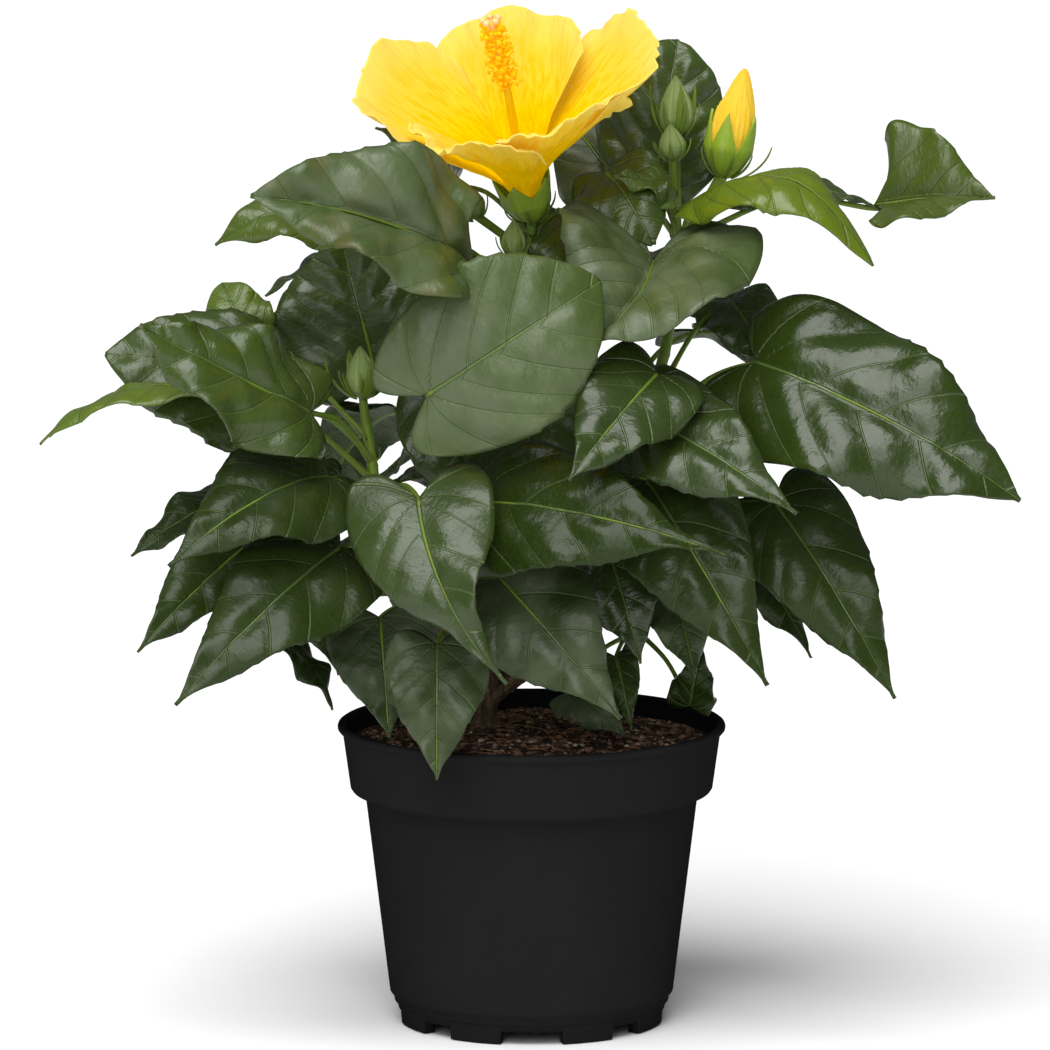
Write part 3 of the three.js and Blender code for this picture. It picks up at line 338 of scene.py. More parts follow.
def curve_point(places, t):
    """A place on the smooth curve through the given places, for t from 0 to 1."""
    places = [np.asarray(p, float) for p in places]
    at = (len(places) - 1) * min(max(t, 0), 1)
    i = min(int(at), len(places) - 2)
    w = at - i
    p1, p2 = places[i], places[i + 1]
    p0 = places[i - 1] if i > 0 else 2 * p1 - p2
    p3 = places[i + 2] if i + 2 < len(places) else 2 * p2 - p1
    gaps = [np.sum((b - a) ** 2) ** 0.25 for a, b in ((p0, p1), (p1, p2), (p2, p3))]
    d1 = gaps[1] if gaps[1] > 1e-4 else 1.0
    d0 = gaps[0] if gaps[0] > 1e-4 else d1
    d2 = gaps[2] if gaps[2] > 1e-4 else d1
    t1 = ((p1 - p0) / d0 - (p2 - p0) / (d0 + d1) + (p2 - p1) / d1) * d1
    t2 = ((p2 - p1) / d1 - (p3 - p1) / (d1 + d2) + (p3 - p2) / d2) * d1
    return p1 + t1 * w + (3 * (p2 - p1) - 2 * t1 - t2) * w**2 + (2 * (p1 - p2) + t1 + t2) * w**3


def curve_points(places, count):
    return np.array([curve_point(places, i / (count - 1)) for i in range(count)])


def circle(sides):
    """Angles that run evenly once round."""
    return np.linspace(0, 2 * math.pi, sides, endpoint=False)


def packed(*parts):
    """The parts stretched to one shape and kept side by side on a last axis."""
    return np.stack(np.broadcast_arrays(*parts), -1)


def spread(values, count):
    """count values that run evenly through the given ones."""
    return np.interp(np.linspace(0, 1, count), np.linspace(0, 1, len(values)), values)


# ---------------------------------------------------------------- meshes
def linked(name, data):
    """A new object in the scene."""
    made = bpy.data.objects.new(name, data)
    bpy.context.scene.collection.objects.link(made)
    return made


VALUES = ("flat", "vein", "tone")  # what the materials read at each point of a piece


class Gathered:
    """Points, faces and the values at each point, gathered for one piece."""

    def __init__(self):
        self.points, self.faces, self.count = [], [], 0
        self.values = {name: [] for name in VALUES}

    def add(self, points, faces, **values):
        """faces are (corners, material number, smooth) triples. Their corners count from the first point."""
        points = np.asarray(points, float).reshape(-1, 3)
        for corners, material, smooth in faces:
            self.faces.append((np.asarray(corners, np.int64) + self.count, material, smooth))
        self.points.append(points)
        for name in VALUES:
            value = np.asarray(values.get(name, (0, 0, 0)), float)
            self.values[name].append(np.broadcast_to(value.reshape(-1, 3), points.shape))
        self.count += len(points)

    def piece(self, name, *materials):
        mesh = bpy.data.meshes.new(name)
        corners = np.concatenate([f.ravel() for f, _, _ in self.faces])
        sizes = np.concatenate([np.full(len(f), f.shape[1]) for f, _, _ in self.faces])
        mesh.vertices.add(self.count)
        mesh.vertices.foreach_set("co", (np.concatenate(self.points) * MM).ravel())
        mesh.loops.add(len(corners))
        mesh.loops.foreach_set("vertex_index", corners.astype(np.int32))
        mesh.polygons.add(len(sizes))
        mesh.polygons.foreach_set("loop_start", (np.cumsum(sizes) - sizes).astype(np.int32))
        numbers = np.concatenate([np.full(len(f), m) for f, m, _ in self.faces])
        smooth = np.concatenate([np.full(len(f), s) for f, _, s in self.faces])
        mesh.polygons.foreach_set("material_index", numbers.astype(np.int32))
        mesh.polygons.foreach_set("use_smooth", smooth.astype(bool))
        for value in VALUES:
            layer = mesh.attributes.new(value, "FLOAT_VECTOR", "POINT")
            layer.data.foreach_set("vector", np.concatenate(self.values[value]).ravel())
        mesh.update(calc_edges=True)
        mesh.validate()
        for material in materials:
            mesh.materials.append(material)
        return linked(name, mesh)


def grid_faces(rows, columns, start=0, wrap=False, flip=False):
    """Quads over a grid of points. wrap joins its last column to its first."""
    i, j = np.meshgrid(np.arange(rows - 1), np.arange(columns if wrap else columns - 1), indexing="ij")
    a = start + i * columns + j
    b = start + i * columns + (j + 1) % columns
    quads = np.stack([a, b, b + columns, a + columns], axis=-1).reshape(-1, 4)
    return quads[:, ::-1] if flip else quads


def skinned(gathered, middle, thickness, materials=(0, 0, 0), wrap=False, **values):
    """A thin closed sheet over a grid of points. materials are the numbers of its front, rear and rim."""
    rows, columns = middle.shape[:2]
    around = np.concatenate([middle[:, -1:], middle, middle[:, :1]], axis=1) if wrap else middle
    across = np.gradient(around, axis=1)
    across = across[:, 1:-1] if wrap else across
    normal = unit(np.cross(across, np.gradient(middle, axis=0)))
    half = np.broadcast_to(np.asarray(thickness, float) / 2, (rows, columns))[..., None]
    points = np.concatenate([(middle + way * normal * half).reshape(-1, 3) for way in (1, -1)])
    rear = rows * columns
    front, back, rim = materials
    faces = [
        (grid_faces(rows, columns, 0, wrap), front, True),
        (grid_faces(rows, columns, rear, wrap, flip=True), back, True),
    ]
    j = np.arange(columns if wrap else columns - 1)
    k = (j + 1) % columns
    last = (rows - 1) * columns
    edges = [np.stack([j, rear + j, rear + k, k], -1),
             np.stack([last + j, last + k, rear + last + k, rear + last + j], -1)]
    if not wrap:
        i = np.arange(rows - 1) * columns
        far = i + columns - 1
        edges.append(np.stack([i, i + columns, rear + i + columns, rear + i], -1))
        edges.append(np.stack([far, rear + far, rear + far + columns, far + columns], -1))
    faces.append((np.concatenate(edges), rim, False))
    doubled = {}
    for name, value in values.items():
        value = np.broadcast_to(np.asarray(value, float), (rows, columns, 3)).reshape(-1, 3)
        doubled[name] = np.concatenate([value, value])
    gathered.add(points, faces, **doubled)


def ringed(gathered, rings, material=0, **values):
    """A closed skin over rings of points, with a pole at each end."""
    rows, sides = rings.shape[:2]
    points = np.concatenate([rings.reshape(-1, 3), [rings[0].mean(0), rings[-1].mean(0)]])
    low, high = rows * sides, rows * sides + 1
    j = np.arange(sides)
    k = (j + 1) % sides
    last = (rows - 1) * sides
    ends = np.concatenate([
        np.stack([np.full(sides, low), k, j], -1),
        np.stack([np.full(sides, high), last + j, last + k], -1),
    ])
    full = {}
    for name, value in values.items():
        value = np.broadcast_to(np.asarray(value, float), (rows, sides, 3)).reshape(-1, 3)
        full[name] = np.concatenate([value, [value[0], value[-1]]])
    gathered.add(points, [(grid_faces(rows, sides, 0, True), material, True), (ends, material, True)], **full)


def tube(gathered, path, radii, sides=8, material=0, tone=(0, 0, 0), relief=None):
    """A round limb along a path, with rounded ends. relief changes its radius at each point."""
    path = np.asarray(path, float)
    radii = np.broadcast_to(np.asarray(radii, float), len(path)).astype(float)
    along = unit(np.gradient(path, axis=0))
    ends = path[0] - along[0] * radii[0] * 0.5, path[-1] + along[-1] * radii[-1] * 0.5
    path = np.concatenate([ends[:1], path, ends[1:]])
    radii = np.concatenate([[radii[0] * 0.7], radii, [radii[-1] * 0.7]])
    along = np.concatenate([along[:1], along, along[-1:]])
    normals = [unit(np.cross(along[0], (0.31, 0.77, 0.55)))]
    for way in along[1:]:
        normals.append(unit(normals[-1] - way * np.dot(normals[-1], way)))
    normals = np.array(normals)
    other = np.cross(along, normals)
    turn = circle(sides)
    out = normals[:, None] * np.cos(turn)[None, :, None] + other[:, None] * np.sin(turn)[None, :, None]
    rings = path[:, None] + out * radii[:, None, None]
    if relief is not None:
        rings = path[:, None] + out * (radii[:, None] * relief(rings))[..., None]
    tone = np.asarray(tone, float)
    if tone.ndim == 2:
        tone = np.concatenate([tone[:1], tone, tone[-1:]])[:, None]
    lengthwise = np.concatenate([[0], np.cumsum(np.linalg.norm(np.diff(path, axis=0), axis=1))])
    flat = packed(turn[None] * radii.mean(), lengthwise[:, None], 0)
    ringed(gathered, rings, material, tone=tone, flat=flat)


def turned_about(base, axis, profile, sides):
    """Rings round an axis, from (distance, radius) pairs."""
    profile = np.asarray(profile, float)
    out = outward(axis, circle(sides))
    return np.asarray(base, float) + profile[:, :1, None] * unit(axis) + profile[:, 1:, None] * out[None]


# ---------------------------------------------------------------- materials
class Nodes:
    """Short calls that add nodes to one tree and link them."""

    def __init__(self, tree):
        self.tree = tree

    def add(self, kind, inputs=(), **settings):
        node = self.tree.nodes.new(kind)
        for name, value in settings.items():
            setattr(node, name, value)
        for key, value in dict(inputs).items():
            self.plug(node.inputs[key], value)
        return node

    def plug(self, socket, value):
        if isinstance(value, bpy.types.NodeSocket):
            self.tree.links.new(value, socket)
        else:
            socket.default_value = value

    def math(self, operation, *values):
        return self.add("ShaderNodeMath", enumerate(values), operation=operation).outputs[0]

    def plus(self, first, second):
        return self.math("ADD", first, second)

    def times(self, first, second):
        return self.math("MULTIPLY", first, second)

    def larger(self, first, second):
        return self.math("MAXIMUM", first, second)

    def values(self, name):
        """The three parts of a value kept at each point, and the whole."""
        whole = self.add("ShaderNodeAttribute", attribute_name=name).outputs["Vector"]
        parts = self.add("ShaderNodeSeparateXYZ", {0: whole}).outputs
        return parts[0], parts[1], parts[2], whole

    def ramp(self, value, low, high, first=0.0, last=1.0, kind="SMOOTHSTEP"):
        inputs = {"Value": value, "From Min": low, "From Max": high, "To Min": first, "To Max": last}
        return self.add("ShaderNodeMapRange", inputs, interpolation_type=kind).outputs["Result"]

    def blend(self, share, first, second):
        """The first colour mixed with the second. Each is a socket or has three plain parts."""
        inputs = {0: share}
        for socket, color in ((6, first), (7, second)):
            inputs[socket] = color if isinstance(color, bpy.types.NodeSocket) else rgb(color)
        return self.add("ShaderNodeMix", inputs, data_type="RGBA").outputs[2]

    def noise(self, vector, scale, detail=3.0, roughness=0.5):
        inputs = {"Vector": vector, "Scale": scale, "Detail": detail, "Roughness": roughness}
        return self.add("ShaderNodeTexNoise", inputs).outputs["Fac"]

    def cells(self, vector, scale, feature):
        """The distance to the edge or to the middle of the nearest cell."""
        inputs = {"Vector": vector, "Scale": scale}
        return self.add("ShaderNodeTexVoronoi", inputs, feature=feature).outputs["Distance"]

    def scaled(self, vector, scale):
        return self.add("ShaderNodeVectorMath", {0: vector, 1: scale}, operation="MULTIPLY").outputs[0]

    def object_place(self):
        return self.add("ShaderNodeTexCoord").outputs["Object"]

    def bump(self, height, distance):
        inputs = {"Height": height, "Distance": distance, "Strength": 1.0}
        return self.add("ShaderNodeBump", inputs).outputs[0]


def rgb(color):
    return (*color, 1.0)


def finish_named(name, **sockets):
    """The tools that add nodes to a new material, and the call that sets its last sockets and returns it."""
    material = bpy.data.materials.new(name)
    material.use_nodes = True
    nodes = Nodes(material.node_tree)
    shader = material.node_tree.nodes["Principled BSDF"]

    def close(color, roughness, height=None, depth=0.0, **values):
        """The height gives a bump of that depth in metres, and values go to further sockets."""
        values = {**sockets, **values, "Base_Color": color, "Roughness": roughness}
        if height is not None:
            values["Normal"] = nodes.bump(height, depth)
        for key, value in values.items():
            nodes.plug(shader.inputs[key.replace("_", " ")], value)
        return material

    return nodes, close


def leaf_finish(name, looks, specular):
    nodes, close = finish_named(name, Specular_IOR_Level=specular)
    across, order, gauge, _ = nodes.values("vein")
    _, _, along, flat = nodes.values("flat")
    light, warmth, sheen, _ = nodes.values("tone")
    yellow = nodes.larger(warmth, 0.0)
    brown = nodes.larger(nodes.times(warmth, -1.0), 0.0)
    side = nodes.math("ABSOLUTE", across)
    rib_width = nodes.ramp(along, 0, 1, 0.85, 0.3, "LINEAR")
    rib = nodes.ramp(nodes.math("DIVIDE", side, rib_width), 0.35, 1.15, 1, 0)
    apart = nodes.times(nodes.math("PINGPONG", order, 0.5), gauge)
    branch = nodes.ramp(apart, 0.12, 0.55, 1, 0)
    net = nodes.ramp(nodes.cells(flat, 36.0, "DISTANCE_TO_EDGE"), 0.0, 0.09, 1, 0)
    patches = nodes.noise(flat, 3.2, 3.0)
    deep = nodes.blend(patches, looks.leaf_shade, looks.leaf_color)
    # A positive light blends towards the light leaf colour: the paler green of young leaves, and painted light
    # on some leaves.
    base = nodes.blend(nodes.larger(light, 0.0), deep, looks.leaf_light)
    # A negative light blends towards the painted shade colour: painted shade on the leaves that hang under the
    # others.
    base = nodes.blend(nodes.times(light, -1.0), base, looks.leaf_painted_shade)
    # yellow paints the glow of light shining through the leaf.
    base = nodes.blend(nodes.times(yellow, 0.8), base, looks.leaf_yellow)
    rust = nodes.times(nodes.ramp(nodes.noise(flat, 4.5, 2.0), 0.46, 0.64), brown)
    base = nodes.blend(nodes.times(rust, 0.8), base, looks.leaf_brown)
    # Painted sheen: pale grey patches that stand in for a broad reflection of the soft lights on the glossy
    # leaves.
    painted_sheen = nodes.times(sheen, nodes.ramp(nodes.noise(flat, 4.0, 4.0), 0.35, 0.65, 0.1, 0.62))
    base = nodes.blend(painted_sheen, base, looks.leaf_painted_sheen)
    base = nodes.blend(nodes.times(net, 0.07), base, looks.vein_color)
    veins = nodes.larger(nodes.times(rib, 0.85), nodes.times(branch, 0.3))
    # The veins fade on the leaves with painted shade.
    veins = nodes.times(veins, nodes.ramp(light, -0.9, 0.0, 0.45, 1))
    color = nodes.blend(veins, base, looks.vein_color)
    fine = nodes.noise(nodes.scaled(flat, (1, 0.6, 1)), 34.0, 3.0, 0.55)
    height = nodes.times(fine, 0.5)
    for part, depth in ((rib, -0.8), (branch, -0.45)):
        height = nodes.plus(height, nodes.times(part, depth))
    rough = nodes.ramp(nodes.noise(flat, 9.0, 4.0), 0.3, 0.7, 0.2, 0.34, "LINEAR")
    rough = nodes.plus(rough, nodes.times(sheen, 0.18))
    return close(color, rough, height, 0.0006)


def leaf_back_finish(name, looks):
    nodes, close = finish_named(name, Specular_IOR_Level=0.35)
    across, order, gauge, _ = nodes.values("vein")
    _, _, _, flat = nodes.values("flat")
    light, warmth, _, _ = nodes.values("tone")
    yellow = nodes.larger(warmth, 0.0)
    rib = nodes.ramp(nodes.math("ABSOLUTE", across), 0.3, 1.1, 1, 0)
    apart = nodes.times(nodes.math("PINGPONG", order, 0.5), gauge)
    branch = nodes.ramp(apart, 0.1, 0.6, 1, 0)
    net = nodes.ramp(nodes.cells(flat, 17.0, "DISTANCE_TO_EDGE"), 0.0, 0.08, 1, 0)
    base = nodes.blend(nodes.noise(flat, 4.0), looks.under_shade, looks.under_color)
    # Painted light shining through the leaf, and the paler young leaves, lighten the underside.
    base = nodes.blend(nodes.times(nodes.larger(yellow, light), 0.6), base, looks.leaf_yellow)
    veins = nodes.larger(rib, nodes.times(nodes.larger(branch, net), 0.45))
    color = nodes.blend(nodes.times(veins, 0.7), base, looks.vein_color)
    height = nodes.plus(nodes.times(veins, 1.0), nodes.times(nodes.noise(flat, 60.0), 0.2))
    return close(color, 0.58, height, 0.0005)


def stem_finish(name, looks):
    """Green bark and stalks. Its tone runs from woody at 0 to fresh at 1, and its second part reddens it."""
    nodes, close = finish_named(name, Specular_IOR_Level=0.25)
    fresh, red, _, _ = nodes.values("tone")
    place = nodes.object_place()
    streak = nodes.noise(nodes.scaled(place, (1, 1, 0.25)), 900.0, 3.0)
    blotch = nodes.noise(place, 160.0, 3.0)
    green = nodes.blend(streak, looks.stem_color, looks.stem_light)
    wood = nodes.blend(blotch, looks.bark_shade, looks.bark_color)
    color = nodes.blend(nodes.ramp(nodes.plus(fresh, nodes.times(blotch, 0.4)), 0.3, 0.8), wood, green)
    color = nodes.blend(nodes.times(red, 0.7), color, looks.stem_red)
    height = nodes.plus(streak, nodes.times(blotch, 0.6))
    rough = nodes.ramp(fresh, 0, 1, 0.75, 0.42, "LINEAR")
    return close(color, rough, height, 0.0003)


def bark_finish(name, looks):
    nodes, close = finish_named(name, Specular_IOR_Level=0.3)
    fresh, _, _, _ = nodes.values("tone")
    place = nodes.object_place()
    fissures = nodes.noise(nodes.scaled(place, (1, 1, 0.22)), 700.0, 5.0, 0.6)
    blotch = nodes.noise(place, 120.0, 4.0)
    wood = nodes.blend(nodes.ramp(fissures, 0.35, 0.65), looks.bark_shade, looks.bark_color)
    green = nodes.blend(blotch, looks.stem_shade, looks.stem_color)
    share = nodes.ramp(nodes.plus(fresh, nodes.times(blotch, 0.5)), 0.5, 1.1)
    color = nodes.blend(share, wood, green)
    pore = nodes.ramp(nodes.cells(place, 420.0, "F1"), 0.1, 0.25, 1, 0)
    color = nodes.blend(nodes.times(pore, 0.35), color, looks.bark_pore)
    height = nodes.plus(fissures, nodes.times(pore, 0.4))
    return close(color, 0.78, height, 0.0006)


def petal_finish(name, looks, deep=1.0, pale_share=0.0):
    nodes, close = finish_named(name, Specular_IOR_Level=0.0, Subsurface_Weight=0.6, Subsurface_Scale=0.0015,
                                Subsurface_Radius=(1.0, 0.85, 0.25))
    _, along, _, flat = nodes.values("flat")
    streaks = nodes.noise(nodes.scaled(flat, (1, 0.28, 1)), 0.5, 4.0, 0.6)
    wide = nodes.noise(nodes.scaled(flat, (1, 0.12, 1)), 0.16, 2.0)
    body = nodes.blend(nodes.ramp(along, 8, 34), looks.throat_color, looks.petal_color)
    pale = nodes.times(nodes.ramp(along, 26, 54), nodes.ramp(wide, 0.35, 0.7, 0.7, 1))
    color = nodes.blend(nodes.larger(pale, pale_share), body, looks.petal_pale)
    color = nodes.blend(nodes.ramp(along, 50, 62), color, looks.petal_rim)
    lines = nodes.times(nodes.ramp(streaks, 0.44, 0.6), nodes.ramp(along, 40, 62, 0.8 * deep, 0.12 * deep))
    color = nodes.blend(lines, color, looks.petal_vein)
    height = nodes.plus(streaks, nodes.times(nodes.noise(flat, 2.2, 2.0), 0.25))
    return close(color, 0.55, height, 0.0006, Emission_Color=color, Emission_Strength=looks.petal_glow)


def bud_finish(name, looks, first, second):
    nodes, close = finish_named(name, Specular_IOR_Level=0.2)
    _, _, seam, flat = nodes.values("flat")
    fine = nodes.noise(nodes.scaled(flat, (1, 0.15, 1)), 2.2, 3.0)
    color = nodes.blend(fine, first, second)
    color = nodes.blend(nodes.times(seam, 0.75), color, looks.bud_seam)
    height = nodes.math("SUBTRACT", fine, seam)
    return close(color, 0.5, height, 0.0003)


def anther_finish(name, looks):
    nodes, close = finish_named(name, Specular_IOR_Level=0.2)
    fine = nodes.noise(nodes.object_place(), 2600.0, 3.0)
    color = nodes.blend(fine, looks.anther_shade, looks.anther_color)
    # The emission paints a glow on the pollen, as on the petals.
    return close(color, 0.85, fine, 0.0003, Emission_Color=color, Emission_Strength=looks.petal_glow)


def stigma_finish(name, looks):
    nodes, close = finish_named(name, Specular_IOR_Level=0.2)
    fine = nodes.noise(nodes.object_place(), 3000.0, 2.0)
    color = nodes.blend(fine, looks.stigma_shade, looks.stigma_color)
    return close(color, 0.8, fine, 0.0004)


def pot_finish(name, looks):
    nodes, close = finish_named(name, Specular_IOR_Level=0.0)
    place = nodes.object_place()
    grain_fine = nodes.noise(place, 1500.0, 2.0)
    bands = nodes.noise(nodes.scaled(place, (0.3, 0.3, 1.6)), 160.0, 3.0)
    dust = nodes.ramp(nodes.noise(place, 30.0, 4.0), 0.45, 0.75, 0, 0.25)
    color = nodes.blend(dust, looks.pot_color, looks.pot_dust)
    rough = nodes.ramp(bands, 0.3, 0.7, 0.4, 0.52, "LINEAR")
    height = nodes.plus(grain_fine, nodes.times(bands, 0.5))
    return close(color, rough, height, 0.00008)


def soil_finish(name, looks):
    nodes, close = finish_named(name, Specular_IOR_Level=0.15)
    place = nodes.object_place()
    clods = nodes.noise(place, 420.0, 6.0, 0.65)
    color = nodes.blend(nodes.ramp(clods, 0.35, 0.65), looks.soil_shade, looks.soil_color)
    return close(color, 0.95, clods, 0.0016)


def bits_finish(name, first, second):
    """For soil crumbs and fibres, whose own shade is kept on them."""
    nodes, close = finish_named(name, Specular_IOR_Level=0.15)
    shade = nodes.add("ShaderNodeAttribute", attribute_name="shade").outputs["Fac"]
    rough = nodes.noise(nodes.object_place(), 1400.0, 3.0)
    share = nodes.times(nodes.math("POWER", shade, 1.9), nodes.ramp(rough, 0.2, 0.8, 0.6, 1.0))
    color = nodes.blend(share, first, second)
    return close(color, 0.9, rough, 0.0004)


def shared(name, make, *arguments):
    """The material of that name, made at its first use."""
    return bpy.data.materials.get(name) or make(name, *arguments)


def calyx_green(looks):
    return shared("calyx_green", bud_finish, looks, looks.calyx_shade, looks.calyx_color)


# ---------------------------------------------------------------- leaves
STALK_ROWS = 22
STEM_ROWS = 60
WIDE_LEAF = 40  # blades as wide as this have the finer mesh
TOOTH_LENGTH = 6.5
BRISTLE_HEIGHT = 190  # stalks that start above it have bristles
TIP_REACH = 0.8  # how near a leaf's tip has to be to a corner of its shoot's solid


def outline(v, full):
    """Half the width of an ovate blade with a drawn-out tip, as a share of its greatest half width."""
    swell, taper, drawn = mix(0.45, 0.65, max(0, full)), mix(1.12, 0.6, full), mix(0.4, 0.1, full)
    widest = (swell - 0.12 * taper) / (swell + taper)

    def shape(t):
        return (t + 0.12) ** swell * (1 - t) ** taper * (1 - drawn * t**3)

    return np.maximum(0.03, shape(np.clip(v, 0, 1)) / shape(widest))


def blade_surface(one):
    """The blade's middle as a function of u across and v along, with the flat place of each point."""
    hub, chord = one["hub"], one["tip"] - one["hub"]
    length = np.linalg.norm(chord)
    along = chord / length
    lean = math.radians(one["lean"])
    face = np.array([0, -math.sin(lean), math.cos(lean)])
    face = turned(unit(face - along * np.dot(face, along)), along, math.radians(one["roll"]))
    side = np.cross(along, face)

    def place(t):
        arch = 4 * t * (1 - t)
        drop = np.where(t > 0.5, ((t - 0.5) * 2) ** 2, 0)
        rise = length * (one["bow"] * arch - one["curl"] * drop)
        aside = length * one["sweep"] * arch
        return hub + along * (length * t)[..., None] + face * rise[..., None] + side * aside[..., None]

    def surface(u, v):
        u, v = np.broadcast_arrays(np.asarray(u, float), np.asarray(v, float))
        out = np.abs(u)
        t = v - (1 - v) ** 3 * one["lobe"] * np.sin(0.72 * math.pi * np.minimum(out, 1.2))
        half = one["width"] / 2 * outline(v, one["full"])
        near = np.maximum(t, 0)
        tangent = unit(place(near + 0.01) - place(near - 0.01))
        origin = np.where((t < 0)[..., None], place(t * 0) + tangent * (length * t)[..., None], place(t))
        across = unit(turned(np.cross(tangent, face), tangent, math.radians(one["twist"]) * v * v))
        up = np.cross(across, tangent)
        slope = np.radians(one["fold"] + one["cup"] * out * 0.5)
        phase = one["phase"] + np.where(u > 0, 0.37, 0)
        ripple = one["wave"] * out**2 * np.sin(2 * math.pi * (2.2 * v + phase))
        lift = out * half * np.sin(slope) + ripple * np.minimum(1, 4 * (1 - v))
        point = origin + across * (u * half * np.cos(slope))[..., None] + up * lift[..., None]
        return point, u * half, t * length

    return surface, length


def vein_field(r, s, length, width):
    """The number of the side vein at a flat place, from the hub up, and how many mm one number spans."""
    apart, rise, bend = 0.235 * length, 0.7, 0.9 / max(width, 1)
    out = np.abs(r)
    above = (s - rise * out - bend * out**2) / apart
    above = above + np.where(r > 0, 0.36, 0) * step_between(above, 0.1, 0.9)
    first = math.atan(rise)
    fan = math.radians(38)
    below = (np.arctan2(s - bend * out**2, np.maximum(out, 1e-3)) - first) / fan
    order = np.where(above >= 0, above, below)
    gauge = np.where(above >= 0, apart / np.sqrt(1 + (rise + 2 * bend * out) ** 2), np.hypot(r, s) * fan)
    return order, gauge


def blade(gathered, one, number, looks):
    """One leaf blade: two skins with sunken veins, swollen between them, toothed towards the tip."""
    surface, length = blade_surface(one)
    draw = seeded(number * 7919 + 13)
    rows, columns = (61, 29) if one["width"] >= WIDE_LEAF else (45, 21)
    u = np.linspace(-1, 1, columns)[None, :]
    v = np.linspace(0, 1, rows)[:, None]
    teeth = max(4, round(length / TOOTH_LENGTH))
    tooth = (v * teeth + 0.2 * np.sin(9 * v)) % 1.0
    jag = 0.05 * tooth**1.6 * step_between(v, 0.28, 0.5) * np.minimum(1, 5 * (1 - v))
    jag = jag + 0.02 * np.sin(7 * v + 6 * draw())
    middle, r, s = surface(u * (1 + jag * np.abs(u) ** 8), np.broadcast_to(v, (rows, columns)))
    order, gauge = vein_field(r, s, length, one["width"])
    pillow = np.sin(math.pi * np.abs(order - np.round(order))) ** 0.9 * np.minimum(gauge / 9, 1.25)
    swell = pillow * (1 - bump_at(r, 0, 3.4))
    edge = 1 - step_between(np.abs(u), 0.8, 1.0) * 0.6
    relief = looks.leaf_relief / MM * one["quilt"] * swell * edge * np.minimum(1, 6 * (1 - v))
    crumple = grain(packed(r + 90 * draw(), s, 0), 11, 3) + 0.35 * grain(packed(r, s, 0), 4.5, 5)
    relief += 0.75 * one["quilt"] * crumple * np.minimum(1, 8 * v)
    middle = middle + sheet_normals(middle) * relief[..., None]
    offset = 40 * draw()
    flat = packed(r * 0.01 + offset, s * 0.01, v)
    vein = packed(r, order, gauge)
    tint = 0.16 * (draw() - 0.5)
    tone = (one["light"] * 0.6 + tint, one["yellow"] - one["brown"], one["sheen"])
    thickness = np.broadcast_to(looks.leaf_thickness / MM * (1 - 0.45 * np.abs(u) ** 6), r.shape)
    skinned(gathered, middle, thickness, (0, 1, 0), flat=flat, vein=vein, tone=tone)
    places = np.linspace(0, 0.94, 16)
    rib, beside = surface(0, places)[0], surface(0.02, places)[0]
    down = unit(np.cross(beside - rib, np.gradient(rib, axis=0)))
    sizes = np.linspace(0.85, 0.2, 16) * min(1, one["width"] / 36)
    tube(gathered, rib - down * (sizes * 0.55)[:, None], sizes, 6, 2, (0.9, 0.1, 0))


def stalk_path(one, stem, surface, length):
    """The places that a leaf's stalk runs through, from the stem to a little way under the midrib."""
    hub = one["hub"]
    foot, head = curve_point(stem, 0), curve_point(stem, 1)
    reach = math.hypot(hub[0] - foot[0], hub[1] - foot[1])
    share = (hub[2] - one["climb"] * reach - foot[2]) / max(head[2] - foot[2], 1)
    root = curve_point(stem, min(max(share, 0.08), 0.94))
    bend = mix(root, hub, 0.55) + np.array([0, 0, 0.12 * np.linalg.norm(root - hub)])
    end = surface(0, 5 / length)[0]
    under = unit(np.cross(surface(0.02, 0)[0] - hub, end - hub)) * -0.8
    return [root, bend, hub + under, end + under * 0.8]


def stalk(gathered, one, stem):
    """A leaf's stalk, thicker at its foot and its hub. High on the plant it has bristles at its foot."""
    path = curve_points(stalk_path(one, stem, *blade_surface(one)), STALK_ROWS)
    size = 0.72 + 0.28 * min(1, one["width"] / 45)
    t = np.linspace(0, 1, STALK_ROWS)
    radii = size * (1.05 + 0.55 * bump_at(t, 0, 0.08) + 0.3 * bump_at(t, 0.74, 0.09) - 0.25 * t)
    red = 0.22 * bump_at(t, 0.72, 0.14) + 0.3 * bump_at(t, 0, 0.12)
    tube(gathered, path, radii, 9, 0, packed(0.95, red, 0))
    way = unit(path[3] - path[0])
    side = unit(np.cross(way, (0, 0, 1)))
    for sign in (-1, 1) if path[0][2] > BRISTLE_HEIGHT else ():
        base = path[0] + side * sign * 1.6
        end = base + side * sign * 2.2 + way * 1.2 + (0, 0, 4.4)
        bristle = curve_points([base, base + side * sign * 1.6 + (0, 0, 1.6), end], 6)
        tube(gathered, bristle, np.linspace(0.42, 0.08, 6), 5, 0, (0.9, 0.3, 0))


def candidate(shoot, i, attempt, draw):
    """The rule's leaf number i on a shoot, at one of its tries."""
    count, start, _ = shoot["grown"]
    age = 1 - (i + 0.5) / count
    turn = math.radians(start + RULE["angle"] * i + RULE["stray"] * (draw() - 0.5))
    size = RULE["shrink"] ** attempt
    reach = mix(*RULE["stalk"], draw()) * size
    length = mix(*RULE["length"], 0.6 * age + 0.4 * draw()) * size
    hang = math.radians(mix(*RULE["hang"], 0.6 * age + 0.4 * draw()))
    out = np.array([math.cos(turn), math.sin(turn), 0])
    hub = curve_point(shoot["stem"], 1 - age) + out * reach
    hub[2] += 0.4 * reach
    tip = hub + out * length * math.cos(hang)
    tip[2] += length * math.sin(hang)
    lean = -math.sin(turn) * mix(*RULE["lean"], draw())
    bow = mix(0.08, 0.16, draw())
    return leaf(hub, tip, length * RULE["slimness"], lean, bow=bow, phase=draw(), quilt=1.3)


